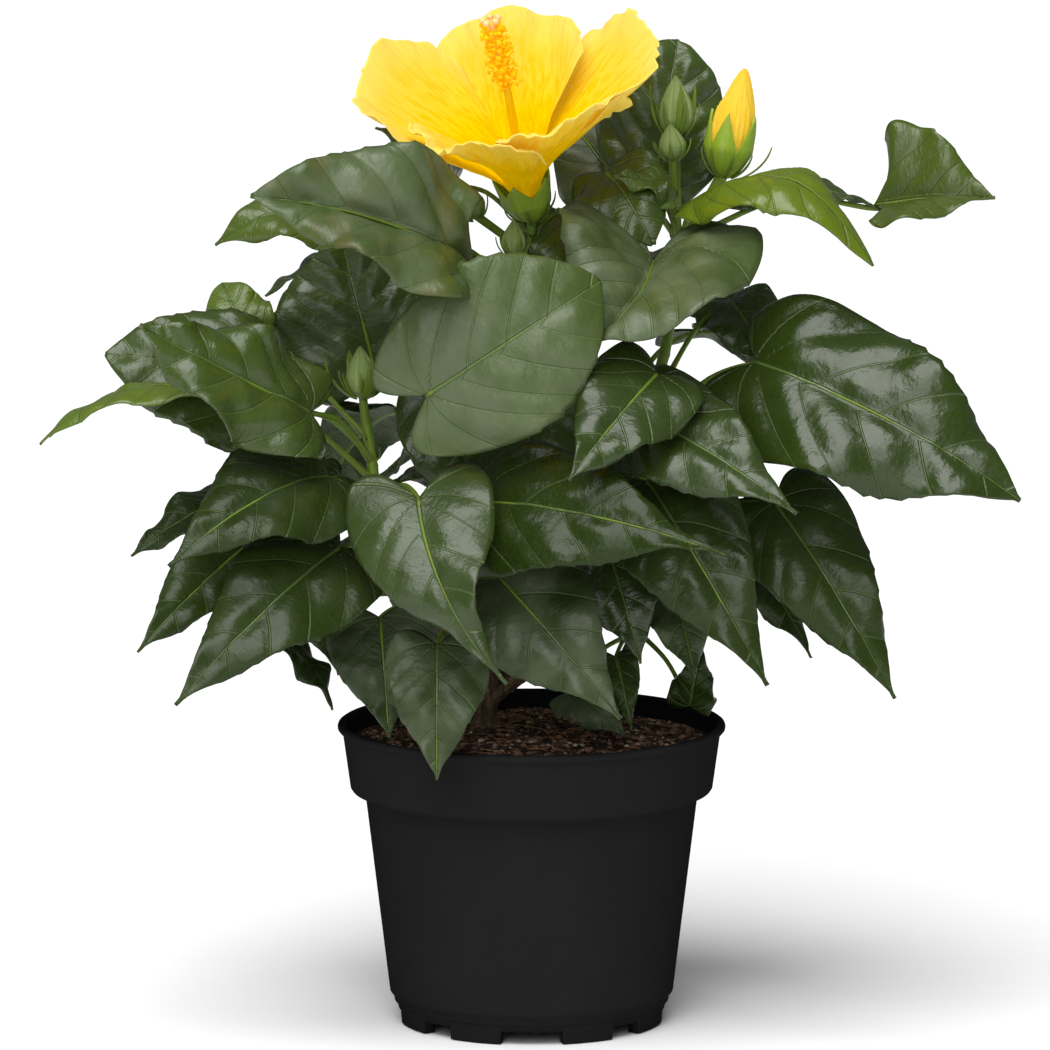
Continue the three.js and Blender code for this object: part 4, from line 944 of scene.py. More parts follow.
def grown_leaves(name, shoot):
    """The rule's leaves that the shoot's solid holds: the ones that stayed clear of their neighbours."""
    if "grown" not in shoot:
        return []
    corners = np.array([v.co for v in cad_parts[name].data.vertices]) / MM
    draw = seeded(shoot["grown"][2])
    kept = []
    for i in range(shoot["grown"][0]):
        for attempt in range(RULE["tries"]):
            one = candidate(shoot, i, attempt, draw)
            end = blade_surface(one)[0](0, 1)[0]
            if np.min(np.linalg.norm(corners - end, axis=1)) < TIP_REACH:
                kept.append(one)
                break
    return kept


# ---------------------------------------------------------------- buds and calyx
BRACT_THICKNESS = 0.35
LOW_BUD = 250  # a large bud under this height has leafy bracts
# Shares of the length, and the share of the radius at each.
BUD_PROFILE = ([0, 0.05, 0.14, 0.26, 0.4, 0.55, 0.7, 0.85, 0.95, 1],
               [0.3, 0.6, 0.84, 0.98, 1.0, 0.88, 0.66, 0.38, 0.17, 0.06])
FURLED_PROFILE = ([0, 0.1, 0.2, 0.32, 0.45, 0.6, 0.75, 0.88, 0.96, 1],
                  [0.5, 0.74, 0.88, 0.96, 0.95, 0.82, 0.6, 0.38, 0.22, 0.08])


def bracts(gathered, base, axis, radius, count, length, turn=0.0, width=0.95, spread=1.15):
    """Pointed bracts that stand round the foot of a bud."""
    up = unit(axis)
    v = np.linspace(0, 1, 10)[:, None]
    u = np.linspace(-1, 1, 5)[None, :]
    for i, angle in enumerate(turn + circle(count)):
        out = outward(axis, angle)
        across = np.cross(up, out)
        reach = radius * (0.5 + spread * np.sin(v * 1.5)) + 0.4
        rise = length * (v**1.3) - 0.8
        half = width * (1 - v) ** 0.7 * (0.55 + v)
        middle = np.asarray(base) + up * (rise + 0.25 * u**2)[..., None] + out * (reach + u * 0)[..., None]
        middle = middle + across * (u * half)[..., None]
        tone = (0.95, 0.03 + 0.07 * (i % 3 == 0), 0)
        skinned(gathered, middle, BRACT_THICKNESS, tone=tone)


def closed_bud(gathered, greens, root, base, tip, radius):
    """A bud in its closed calyx, ridged and seamed, on its stalk. The stalk and the bracts go into greens."""
    axis = np.asarray(tip, float) - np.asarray(base, float)
    length = np.linalg.norm(axis)
    distance = np.linspace(0, 1, 34)
    profile = np.interp(distance, *BUD_PROFILE)
    sides = 40
    rings = turned_about(base, axis, np.stack([distance * length - 0.4, profile * radius], -1), sides)
    turn = circle(sides)
    ridge = np.abs(np.cos(2.5 * turn))[None]
    mask = step_between(distance, 0.12, 0.4)[:, None]
    centre = np.asarray(base) + unit(axis) * (distance * length - 0.4)[:, None]
    grow = 1 + mask * (0.13 * ridge**0.6 - 0.09)
    rings = centre[:, None] + (rings - centre[:, None]) * grow[..., None]
    seam = mask * (1 - step_between(ridge, 0.0, 0.3))
    ringed(gathered, rings, 0, flat=packed(turn[None] * radius, distance[:, None] * length, seam))
    halfway = mix(np.asarray(root, float), np.asarray(base, float), 0.5)
    tube(greens, curve_points([root, halfway, base], 12), np.linspace(1.3, 1.5, 12), 10, 0, (0.95, 0.12, 0))
    bracts(greens, base, axis, radius * 0.8, 7, length * 0.55, turn=radius)
    if radius > 5:
        low = base[2] < LOW_BUD
        bracts(greens, base, axis, radius * 0.85, 4 if low else 3, length * 0.85, turn=radius + 1,
               width=3.0 if low else 2.0, spread=2.1 if low else 1.15)


def open_calyx(gathered, base, axis, radius, height, lobe, flare):
    """A cup with five pointed lobes, as one thin sheet round the axis."""
    turn = circle(90)[None, :]
    v = np.linspace(0, 1, 22)[:, None]
    peak = np.abs(((turn / (2 * math.pi) * 5) % 1.0) - 0.5) * 2
    top = height - 2 + (lobe + 2) * (1 - peak) ** 1.15
    rise = v * top - 0.6
    share = rise / (height + lobe)
    opened = 0.1 * flare * np.maximum(share - 0.45, 0) / 0.55
    reach = radius * (0.25 + 0.8 * np.clip(share / 0.4, 0, 1) ** 0.55 + opened)
    reach = reach * (1 + 0.05 * np.cos(5 * turn + math.pi) * step_between(share, 0.1, 0.4)) * 0.93
    middle = np.asarray(base) + unit(axis) * rise[..., None] + outward(axis, turn) * reach[..., None]
    ridge = bump_at(peak, 0, 0.08) * step_between(share, 0.1, 0.4)
    flat = packed(turn * radius, rise, ridge * 0.5)
    skinned(gathered, middle[:, ::-1], 0.8, wrap=True, flat=flat[:, ::-1])


def furled_petals(gathered, foot, axis, radius, length):
    """Petals wound round each other to a blunt point."""
    turn = circle(100)[None, :]
    v = np.linspace(0, 1, 60)[:, None]
    profile = np.interp(v, *FURLED_PROFILE)
    wound = (turn / (2 * math.pi) * 5 + 1.1 * v) % 1.0
    fold = 0.1 * wound**2 * step_between(v, 0.05, 0.4)
    crease = 0.03 * np.sin(turn * 23 + 5 * v) * step_between(v, 0.1, 0.5)
    reach = radius * (profile * (0.95 + fold + crease))
    rings = np.asarray(foot) + unit(axis) * (v * length)[..., None] + outward(axis, turn) * reach[..., None]
    ringed(gathered, rings, 0, flat=packed(turn * radius, 20 + v * 24, 0))


# ---------------------------------------------------------------- the bloom
def bloom_seat():
    """The place on the calyx that the petals start from."""
    return np.array(BLOOM_FOOT, float) + unit(BLOOM_AXIS) * (CALYX["height"] + GAP)


def petal_point(index, u, v):
    """A place on a petal, for u across from -1 to 1 and v from throat to rim."""
    middle, far, high = PETALS[index]
    s = np.maximum(0, v * (1 - 0.06 * u**2 - 0.2 * u**6))
    rest = np.maximum(0, 1 - s)
    turn = np.radians(middle + PETAL["spread"] * u * (0.9 + 0.1 * s))
    reach = PETAL["throat"] + (far - PETAL["throat"]) * s**1.3 * (1 + PETAL["tuck"] * u * s)
    rise = PETAL["neck"] * (1 - rest**4) + (high - PETAL["neck"]) * s**2.2
    ruffle = 2 * s**3 * np.sin(5.5 * u + 1.7 * index)
    height = rise + ruffle - PETAL["overlap"] * u * np.minimum(1, s * 2.5)
    along, out = unit(BLOOM_AXIS) * height[..., None], outward(BLOOM_AXIS, turn) * reach[..., None]
    return bloom_seat() + along + out


def petal(gathered, index, looks):
    """One petal with fine radial pleats and a crinkled, notched rim."""
    columns, rows = 65, 73
    u = np.broadcast_to(np.linspace(-1, 1, columns)[None, :], (rows, columns))
    v = np.broadcast_to(np.linspace(0.0, 1, rows)[:, None] ** 0.85, (rows, columns))
    place = packed(u * 30 + 100 * index, 7 * index, 0)
    notch = 0.025 * grain(place, 7) + 0.012 * grain(place, 2.6, 4)
    middle = petal_point(index, u, v * (1 + notch * v**3))
    radial = packed(u * 42 + 100 * index, v * 9, 0)
    pleats = grain(radial, 2.6, 1) * 0.4 + grain(radial, 1.2, 2) * 0.18
    swell = grain(packed(u * 36 + 50 * index, v * 26, 0), 12, 5) * 1.1 * step_between(v, 0.3, 0.8)
    crinkle = grain(packed(u * 48 + 70 * index, v * 10, 0), 3.4, 3) * 1.1 * step_between(v, 0.72, 1.0)
    rolled = 3.2 * step_between(v, 0.84, 1.0) ** 2 * (index > 2)
    middle = middle - unit(BLOOM_AXIS) * rolled[..., None]
    relief = looks.petal_relief * (pleats * step_between(v, 0.1, 0.5) + crinkle + swell)
    middle = middle + sheet_normals(middle) * relief[..., None]
    flat = packed(u * 34 * (0.2 + v) + 80 * index, v * 62, 0)
    skinned(gathered, middle, 0.55 - 0.25 * v, flat=flat)


# ---------------------------------------------------------------- what repeats, as node trees
def tree_named(name, inputs):
    """A new Geometry Nodes tree with named inputs, and the tools that add nodes to it."""
    tree = bpy.data.node_groups.new(name, "GeometryNodeTree")
    tree.interface.new_socket("Geometry", in_out="INPUT", socket_type="NodeSocketGeometry")
    for label, kind, default in inputs:
        socket = tree.interface.new_socket(label, in_out="INPUT", socket_type="NodeSocket" + kind)
        if default is not None:
            socket.default_value = default
    tree.interface.new_socket("Geometry", in_out="OUTPUT", socket_type="NodeSocketGeometry")
    nodes = Nodes(tree)
    return tree, nodes, nodes.add("NodeGroupInput").outputs


def finish_tree(nodes, geometry, material):
    """Realizes the instances, sets their material and gives them out."""
    realized = nodes.add("GeometryNodeRealizeInstances", {0: geometry}).outputs[0]
    painted = nodes.add("GeometryNodeSetMaterial", {"Geometry": realized, "Material": material}).outputs[0]
    nodes.add("NodeGroupOutput", {0: painted})


def between(nodes, low, high, seed, kind="FLOAT"):
    """A random value for each point, from low to high."""
    least, most, result = {"FLOAT": (2, 3, 1), "FLOAT_VECTOR": (0, 1, 0)}[kind]
    inputs = {least: low, most: high, 8: seed}
    return nodes.add("FunctionNodeRandomValue", inputs, data_type=kind).outputs[result]


def scattered_tree(name, shape):
    """A tree that strews small shapes over a surface. shape adds one, given the tools and the size."""
    tree, nodes, given = tree_named(name, [
        ("Density", "Float", 1.0), ("Size", "Float", 0.001), ("Smallest", "Float", 0.4),
        ("Largest", "Float", 1.0), ("Seed", "Int", 1), ("Upright", "Float", 0.0),
        ("Material", "Material", None)])
    host = {"Mesh": given["Geometry"], "Density": given["Density"], "Seed": given["Seed"]}
    spots = nodes.add("GeometryNodeDistributePointsOnFaces", host, distribute_method="RANDOM")
    later = nodes.plus(given["Seed"], 7.0)
    loose = between(nodes, (-math.pi,) * 3, (math.pi,) * 3, later, "FLOAT_VECTOR")
    turn = nodes.add("ShaderNodeMix", {0: given["Upright"], 4: loose}, data_type="VECTOR").outputs[1]
    rotation = nodes.add("FunctionNodeEulerToRotation", {0: turn}).outputs[0]
    aligned = nodes.add("FunctionNodeRotateRotation", {0: spots.outputs["Rotation"], 1: rotation},
                        rotation_space="LOCAL").outputs[0]
    size = between(nodes, given["Smallest"], given["Largest"], given["Seed"])
    places = {"Points": spots.outputs["Points"], "Instance": shape(nodes, given["Size"]), "Rotation": aligned,
              "Scale": size}
    placed = nodes.add("GeometryNodeInstanceOnPoints", places).outputs[0]
    shade = between(nodes, 0.0, 1.0, nodes.plus(given["Seed"], 3.0))
    kept = {"Geometry": placed, "Name": "shade", "Value": shade}
    shaded = nodes.add("GeometryNodeStoreNamedAttribute", kept, data_type="FLOAT", domain="INSTANCE")
    finish_tree(nodes, shaded.outputs[0], given["Material"])
    return tree


def crumb_shape(nodes, size):
    ball = nodes.add("GeometryNodeMeshIcoSphere", {"Radius": size, "Subdivisions": 1}).outputs[0]
    return nodes.add("GeometryNodeTransform", {"Geometry": ball, "Scale": (1.0, 0.75, 0.6)}).outputs[0]


def fibre_shape(nodes, size):
    line = nodes.add("GeometryNodeCurveArc", {"Resolution": 9, "Radius": size, "Sweep Angle": 1.9}).outputs[0]
    ring = nodes.add("GeometryNodeCurvePrimitiveCircle", {"Resolution": 3, "Radius": 0.00013}).outputs[0]
    shift = nodes.add("ShaderNodeCombineXYZ", {0: nodes.times(size, -1.0)}).outputs[0]
    line = nodes.add("GeometryNodeTransform", {"Geometry": line, "Translation": shift}).outputs[0]
    swept = {"Curve": line, "Profile Curve": ring, "Fill Caps": True}
    return nodes.add("GeometryNodeCurveToMesh", swept).outputs[0]


def anther_shape(nodes, size):
    stem_length = nodes.times(size, 4.0)
    thread = {"Vertices": 4, "Radius": 0.00014, "Depth": stem_length}
    stem = nodes.add("GeometryNodeMeshCylinder", thread).outputs[0]
    up = nodes.add("ShaderNodeCombineXYZ", {2: nodes.times(size, 1.8)}).outputs[0]
    stem = nodes.add("GeometryNodeTransform", {"Geometry": stem, "Translation": up}).outputs[0]
    ball = nodes.add("GeometryNodeMeshIcoSphere", {"Radius": size, "Subdivisions": 2}).outputs[0]
    top = nodes.add("ShaderNodeCombineXYZ", {2: nodes.times(size, 4.0)}).outputs[0]
    moved = {"Geometry": ball, "Translation": top, "Scale": (1.0, 0.62, 0.5)}
    ball = nodes.add("GeometryNodeTransform", moved).outputs[0]
    both = nodes.add("GeometryNodeJoinGeometry")
    for part in (stem, ball):
        nodes.tree.links.new(part, both.inputs[0])
    return both.outputs[0]


def made_by(tree, host, name, **inputs):
    """What a tree makes on a host mesh, as a plain mesh object. The host goes."""
    modifier = host.modifiers.new(name, "NODES")
    modifier.node_group = tree
    identifiers = {item.name: item.identifier for item in tree.interface.items_tree if item.in_out == "INPUT"}
    for label, value in inputs.items():
        modifier[identifiers[label]] = value
    bpy.context.view_layer.update()
    evaluated = host.evaluated_get(bpy.context.evaluated_depsgraph_get())
    mesh = bpy.data.meshes.new_from_object(evaluated)
    host.modifiers.remove(modifier)
    bpy.data.objects.remove(host)
    if not len(mesh.polygons):
        raise RuntimeError(f"{name} came out empty")
    return linked(name, mesh)


def settle(piece, slot, *nodes):
    """Puts a finished piece on the plant's one body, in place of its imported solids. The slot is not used."""
    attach(piece, "root")
    if nodes:
        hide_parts(*nodes)


# ---------------------------------------------------------------- pot and soil
NOTCHES = 8  # round the foot ring, wide and narrow by turns
WIDE_NOTCH, NARROW_NOTCH = math.radians(13.5), math.radians(8)  # half of each
HOLE_DISTANCE, HOLE_RADIUS = 30, 5


def pot_profile(sizes):
    """Radii and heights in mm, from the underside's middle up the outside and down the inside."""
    height, rim = sizes.height / MM, sizes.rim_radius / MM
    wall, lip = sizes.wall / MM, sizes.lip_depth / MM
    foot, shoulder = 44.8, 9.0
    points = [(0, 5), (foot - 4.5, 5), (foot - 4.5, 4.6), (foot - 4.4, 0.25), (foot - 4.1, 0),
              (foot - 0.35, 0), (foot, 0.35), (foot + 0.5, shoulder - 2.2), (foot + 1.0, shoulder - 1.5),
              (47.2, shoulder + 0.5), (47.6, shoulder + 1.0), (47.75, shoulder + 2)]
    points += [(mix(47.8, 55.7, t), mix(shoulder + 2.5, 76.4, t)) for t in np.linspace(0, 1, 14)]
    points += [(55.85, 77.0), (56.5, 77.4), (58.4, 77.8), (60.2, 78.6), (60.75, 79.4)]
    points += [(mix(60.85, 63.3, t), mix(80.2, height - lip - 0.5, t)) for t in np.linspace(0, 1, 6)]
    points += [(63.6, height - lip), (rim - 0.5, height - lip + 0.25), (rim - 0.05, height - lip + 0.8),
               (rim, height - 1.1), (rim - 0.25, height - 0.45), (rim - 0.8, height - 0.05),
               (rim - 1.5, height), (rim - 2.6, height - 0.05), (rim - 3.1, height - 0.5)]
    points += [(63.4 - wall - 0.05, height - 1.6), (60.8 - wall, 80.6), (59.2, 79.6), (56.2, 78.9),
               (55.8 - wall, 78.2), (47.6 - wall, 6.8), (47.6 - wall - 0.3, 6.5), (0, 6.5)]
    return np.array(points)


def metres(name, words, value):
    return FloatProperty(name=name, description=words, default=value, unit="LENGTH")


def amount(name, words, value):
    return FloatProperty(name=name, description=words, default=value)


def paint(name, words, value):
    return FloatVectorProperty(name=name, description=words, default=value, subtype="COLOR", min=0, max=1)


class PotSizes(bpy.types.PropertyGroup):
    height: metres("Height", "Height of the pot", POT_HIGH.z)
    rim_radius: metres("Rim radius", "Outer radius of the rolled lip", POT_HIGH.x)
    wall: metres("Wall", "Thickness of the wall", 0.0015)
    lip_depth: metres("Lip depth", "Height of the rolled lip", 0.0026)
    notch_height: metres("Notch height", "Height of the gaps in the foot ring", 0.0042)
    sides: IntProperty(name="Sides", description="Steps round the pot", default=168, min=24)


class SoilSizes(bpy.types.PropertyGroup):
    top: metres("Top", "Height of the soil in the middle", 0.0968)
    edge: metres("Edge", "Height of the soil at the pot's wall", 0.0945)
    crumbs: amount("Crumbs", "Crumbs to a square metre of soil", 230000.0)
    fibres: amount("Fibres", "Fibres to a square metre of soil", 42000.0)
    seed: IntProperty(name="Seed", description="Start of the random spread", default=4)


class Looks(bpy.types.PropertyGroup):
    leaf_thickness: metres("Leaf thickness", "Thickness of a blade", 0.00085)
    leaf_relief: metres("Leaf relief", "How far a blade swells between its veins", 0.00085)
    petal_relief: amount("Petal relief", "Depth of the petals' pleats, as a share", 1.4)
    petal_glow: amount("Petal glow", "Light that comes through the petals", 0.3)
    leaf_color: paint("Leaf", "Upper side of a grown leaf", (0.029, 0.052, 0.0045))
    leaf_shade: paint("Leaf shade", "Darker patches of the upper side", (0.013, 0.026, 0.003))
    # Painted shade for the leaves low in the plant and at its back, under the others.
    leaf_painted_shade: paint("Deep leaf", "Upper side of the oldest leaves", (0.004, 0.009, 0.001))
    # The paler green of young leaves, also used as painted light on some leaves.
    leaf_light: paint("Light leaf", "Upper side of a young leaf", (0.075, 0.125, 0.008))
    leaf_yellow: paint("Yellow leaf", "Leaf with light behind it", (0.115, 0.165, 0.005))
    # Painted sheen: a pale grey that stands in for the broad reflection of the soft lights.
    leaf_painted_sheen: paint("Leaf wax", "Pale waxy bloom of some leaves", (0.12, 0.148, 0.088))
    leaf_brown: paint("Brown leaf", "Brown tint on the young leaf beside the bloom", (0.12, 0.07, 0.006))
    vein_color: paint("Veins", "Leaf veins", (0.085, 0.135, 0.03))
    under_color: paint("Underside", "Underside of a leaf", (0.055, 0.085, 0.024))
    under_shade: paint("Underside shade", "Darker patches of the underside", (0.03, 0.052, 0.016))
    stem_color: paint("Stem", "Young stems and leaf stalks", (0.062, 0.12, 0.008))
    stem_light: paint("Stem light", "Lighter streaks of young stems", (0.13, 0.21, 0.018))
    stem_shade: paint("Stem shade", "Older green stems", (0.05, 0.08, 0.02))
    stem_red: paint("Stem red", "Reddened joints of the stalks", (0.16, 0.05, 0.03))
    bark_color: paint("Bark", "Ridges of the bark", (0.16, 0.105, 0.06))
    bark_shade: paint("Bark shade", "Fissures of the bark", (0.055, 0.034, 0.02))
    bark_pore: paint("Bark pores", "Pores of the bark", (0.4, 0.31, 0.2))
    petal_color: paint("Petal", "Body of the petals", (0.64, 0.42, 0.0))
    petal_pale: paint("Pale petal", "Paler outer half of the petals", (0.62, 0.42, 0.045))
    petal_rim: paint("Petal rim", "Rims of the petals", (0.64, 0.455, 0.09))
    petal_vein: paint("Petal veins", "Darker veins of the petals", (0.64, 0.355, 0.0))
    throat_color: paint("Throat", "Deep yellow of the throat", (0.65, 0.425, 0.0))
    calyx_color: paint("Calyx", "Calyx of an open bloom", (0.26, 0.38, 0.028))
    calyx_shade: paint("Calyx shade", "Darker streaks of an open bloom's calyx", (0.15, 0.24, 0.016))
    bud_color: paint("Bud", "Closed calyx", (0.2, 0.275, 0.085))
    bud_shade: paint("Bud shade", "Darker streaks of the calyx", (0.12, 0.18, 0.05))
    bud_seam: paint("Bud seam", "Seams of the calyx", (0.28, 0.34, 0.14))
    anther_color: paint("Anther", "Pollen on the anthers", (0.92, 0.5, 0.0))
    anther_shade: paint("Anther shade", "Shaded pollen", (0.88, 0.4, 0.0))
    stigma_color: paint("Stigma", "Fuzz of the stigmas", (1.0, 0.72, 0.3))
    stigma_shade: paint("Stigma shade", "Base of the stigmas", (0.95, 0.5, 0.2))
    pot_color: paint("Pot", "Pot plastic", (0.0125, 0.0125, 0.013))
    pot_dust: paint("Pot dust", "Fine dust on the plastic", (0.018, 0.018, 0.018))
    soil_color: paint("Soil", "Moist peat", (0.06, 0.034, 0.022))
    soil_shade: paint("Soil shade", "Gaps in the peat", (0.01, 0.007, 0.005))
    crumb_dark: paint("Dark crumbs", "Darkest crumbs", (0.012, 0.008, 0.006))
    crumb_light: paint("Light crumbs", "Lightest crumbs", (0.3, 0.175, 0.115))
    chip_color: paint("Pale bits", "Pale mineral bits", (0.62, 0.58, 0.5))
    fibre_color: paint("Fibres", "Coir fibres", (0.28, 0.13, 0.06))
    fibre_light: paint("Light fibres", "Paler fibres", (0.5, 0.3, 0.16))


class StageSizes(bpy.types.PropertyGroup):
    lens: amount("Lens", "Focal length of the camera in mm", 308.0)
    distance: metres("Distance", "From the camera to the plant", 3.0)
    elevation: FloatProperty(name="Elevation", description="How far the camera looks down",
                             default=math.radians(9), subtype="ANGLE")
    sky_strength: amount("Sky", "Strength of the wide soft light overhead", 3.55)
    sky_width: FloatProperty(name="Sky width", description="How wide the light overhead is",
                             default=math.radians(50), subtype="ANGLE")
    front_power: FloatProperty(name="Front light", description="Power of the soft box in front", default=38.0,
                               unit="POWER")
    front_width: metres("Front width", "Width of the soft box in front", 2.0)
    surround: amount("Surround", "Strength of the light from all round", 0.18)
    floor_color: paint("Floor", "Pale studio floor", (0.90, 0.90, 0.90))
    world_color: paint("Surroundings", "Light from all round", (1.0, 1.0, 1.0))


# ---------------------------------------------------------------- operators
class HIBISCUS_OT_pot(bpy.types.Operator):
    """Make the nursery pot with its collar, rolled lip and notched foot ring"""

    bl_idname = "hibiscus.pot"
    bl_label = "Pot"

    def execute(self, context):
        sizes, looks = context.scene.hibiscus_pot, context.scene.hibiscus_looks
        profile = pot_profile(sizes)
        front, apart = -math.pi / 2, 2 * math.pi / NOTCHES
        edges = []
        for i in range(NOTCHES):
            half = NARROW_NOTCH if i % 2 else WIDE_NOTCH
            edges += [front + apart * i - half, front + apart * i + half]
        turns = circle(sizes.sides)
        edges = np.array(edges) % (2 * math.pi)
        turns = turns[np.min(np.abs(turns[:, None] - edges[None]), axis=1) > 0.008]
        turns = np.sort(np.concatenate([turns, edges - 0.0012, edges + 0.0012]))
        near = (turns - front + apart / 2) % apart - apart / 2
        narrow = np.round((turns - front) / apart).astype(int) % 2 == 1
        notched = np.abs(near) < np.where(narrow, NARROW_NOTCH, WIDE_NOTCH)
        radius, height = profile[1:-1, :1], profile[1:-1, 1:]
        low = height < sizes.notch_height / MM
        height = np.where(low & notched[None], sizes.notch_height / MM + 0.02 * height, height)
        rings = packed(radius * np.cos(turns), radius * np.sin(turns), height)
        pot = Gathered()
        ringed(pot, rings)
        piece = pot.piece("nursery_pot", shared("pot_plastic", pot_finish, looks))
        cutter = Gathered()
        for at in math.pi / 4 + circle(4):
            foot = HOLE_DISTANCE * math.cos(at), HOLE_DISTANCE * math.sin(at), 4
            ringed(cutter, turned_about(foot, (0, 0, 1), [(0, HOLE_RADIUS), (3.5, HOLE_RADIUS)], 24))
        holes = cutter.piece("drain_holes")
        cut = piece.modifiers.new("drain", "BOOLEAN")
        cut.operation, cut.object, cut.solver = "DIFFERENCE", holes, "EXACT"
        mesh = bpy.data.meshes.new_from_object(piece.evaluated_get(context.evaluated_depsgraph_get()))
        piece.modifiers.remove(cut)
        piece.data = mesh
        bpy.data.objects.remove(holes)
        if len(mesh.polygons) < 1000:
            raise RuntimeError("the pot's drain holes could not be cut")
        settle(piece, "pot", "pot")
        return {"FINISHED"}


def soil_height(sizes, x, y):
    """Height of the soil's rough top in mm."""
    from_middle = np.hypot(x, y)
    base = mix(sizes.top / MM, sizes.edge / MM, step_between(from_middle, 30, 60))
    place = packed(x, y, 0)
    rough = grain(place, 14, 1) + grain(place, 5, 2) * 0.7 + grain(place, 2.2, 3) * 0.45
    return base + rough * (1 - step_between(from_middle, 56, 62) * 0.7)


class HIBISCUS_OT_soil(bpy.types.Operator):
    """Make the soil, its crumbs, its pale bits and its fibres"""

    bl_idname = "hibiscus.soil"
    bl_label = "Soil"

    def execute(self, context):
        sizes, looks = context.scene.hibiscus_soil, context.scene.hibiscus_looks
        sides = 150
        turn = circle(sides)
        across = np.linspace(60.6, 0.8, 44)
        x, y = across[:, None] * np.cos(turn), across[:, None] * np.sin(turn)
        top = packed(x, y, soil_height(sizes, x, y))
        side = [packed(r * np.cos(turn), r * np.sin(turn), z)
                for r, z in ((1, 6.9), (45.4, 6.9), (53.4, 77.6), (58.2, 81.5))]
        body = Gathered()
        ringed(body, np.concatenate([side, top]))
        piece = body.piece("soil_bed", shared("peat", soil_finish, looks))
        settle(piece, "soil", "soil")
        crumbs = scattered_tree("strewn crumbs", crumb_shape)
        fibres = scattered_tree("strewn fibres", fibre_shape)
        dark = shared("soil_crumb", bits_finish, looks.crumb_dark, looks.crumb_light)
        pale = shared("soil_chip", bits_finish, looks.crumb_light, looks.chip_color)
        coir = shared("soil_fibre", bits_finish, looks.fibre_color, looks.fibre_light)
        # For each kind: its name, its tree, the outer rings left bare, then its tree's inputs.
        kinds = [
            ("soil_crumbs", crumbs, 2, sizes.crumbs, 0.0012, 0.35, 1.3, dark),
            ("soil_chips", crumbs, 2, sizes.crumbs * 0.1, 0.0011, 0.4, 1.25, pale),
            ("soil_fibres", fibres, 6, sizes.fibres, 0.0045, 0.3, 1.3, coir),
        ]
        for i, (name, tree, bare, density, size, smallest, largest, material) in enumerate(kinds):
            patch = Gathered()
            patch.add(top[bare:].reshape(-1, 3), [(grid_faces(len(top) - bare, sides, 0, True), 0, True)])
            host = patch.piece(name + "_host")
            made = made_by(tree, host, name, Density=density, Size=size, Smallest=smallest, Largest=largest,
                           Seed=sizes.seed + 11 * i, Upright=1.0, Material=material)
            settle(made, "soil")
        return {"FINISHED"}


RINGS_PER_MM = 1.6
WOODY_HEIGHT = 108  # the limbs are woody up to it, and green 60 mm above it


def bark_relief(points):
    """Ridges along the limb and fine roughness, as a share of the radius."""
    stretched = points * np.array([1, 1, 0.3])
    return 1 + 0.075 * grain(stretched, 1.9, 6) + 0.05 * grain(points, 4.5, 7) + 0.03 * grain(points, 0.9, 8)


class HIBISCUS_OT_limbs(bpy.types.Operator):
    """Make the trunk, the second stem and the boughs, with bark relief"""

    bl_idname = "hibiscus.limbs"
    bl_label = "Trunk and boughs"

    def execute(self, context):
        looks = context.scene.hibiscus_looks
        wood = Gathered()
        for places, radii in LIMBS.values():
            length = sum(math.dist(a, b) for a, b in zip(places, places[1:]))
            count = int(length * RINGS_PER_MM)
            path = curve_points(places, count)
            sizes = spread(radii, count)
            t = np.linspace(0, 1, count)
            rings = 1 + 0.1 * bump_at((t * length) % 19, 9.5, 1.1)
            fresh = np.clip((path[:, 2] - WOODY_HEIGHT) / 60, 0, 1)
            tube(wood, path, sizes * rings, 28, 0, packed(fresh, 0, 0), bark_relief)
        piece = wood.piece("woody_limbs", shared("young_bark", bark_finish, looks))
        settle(piece, "bark", *LIMBS)
        return {"FINISHED"}


def smooth_relief(points):
    """Slight unevenness of a green stem, as a share of the radius."""
    return 1 + 0.035 * grain(points, 2.4, 9)


class HIBISCUS_OT_shoots(bpy.types.Operator):
    """Make the leafy shoots: stems, stalks, blades and closed buds"""

    bl_idname = "hibiscus.shoots"
    bl_label = "Leafy shoots"

    def execute(self, context):
        looks = context.scene.hibiscus_looks
        upper = shared("leaf_upper", leaf_finish, looks, 0.4)
        lower = shared("leaf_lower", leaf_finish, looks, 0.2)
        under = shared("leaf_under", leaf_back_finish, looks)
        green = shared("young_stem", stem_finish, looks)
        closed = shared("bud_green", bud_finish, looks, looks.bud_shade, looks.bud_color)
        number = 0
        for name, shoot in SHOOTS.items():
            light = shoot.get("light", 0)
            shoot = {**shoot, "stem": [LIMBS[shoot["bough"]][0][-1], *shoot["stem"]]}
            leaves, stems, buds = Gathered(), Gathered(), Gathered()
            path = curve_points(shoot["stem"], STEM_ROWS)
            t = np.linspace(0, 1, STEM_ROWS)
            sizes = spread(shoot["radii"], STEM_ROWS) * 0.86
            knots = 1 + 0.12 * bump_at((t * 5.3) % 1, 0.5, 0.07)
            fresh = 0.35 + 0.65 * step_between(t, 0.0, 0.5)
            tube(stems, path, sizes * knots, 18, 0, packed(fresh, 2 * (knots - 1), 0), smooth_relief)
            for one in shoot.get("leaves", []) + grown_leaves(name, shoot):
                number += 1
                one = {**one, "light": one["light"] + light}
                stalk(stems, one, shoot["stem"])
                blade(leaves, one, number, looks)
            piece = leaves.piece(name + "_leaves", lower if light < -0.5 else upper, under, green)
            settle(piece, "leaf", name)
            for root, base, tip, radius in shoot.get("buds", []):
                closed_bud(buds, stems, root, base, tip, radius)
            settle(stems.piece(name + "_stems", green), "leaf")
            if buds.count:
                settle(buds.piece(name + "_buds", closed), "leaf")
        return {"FINISHED"}


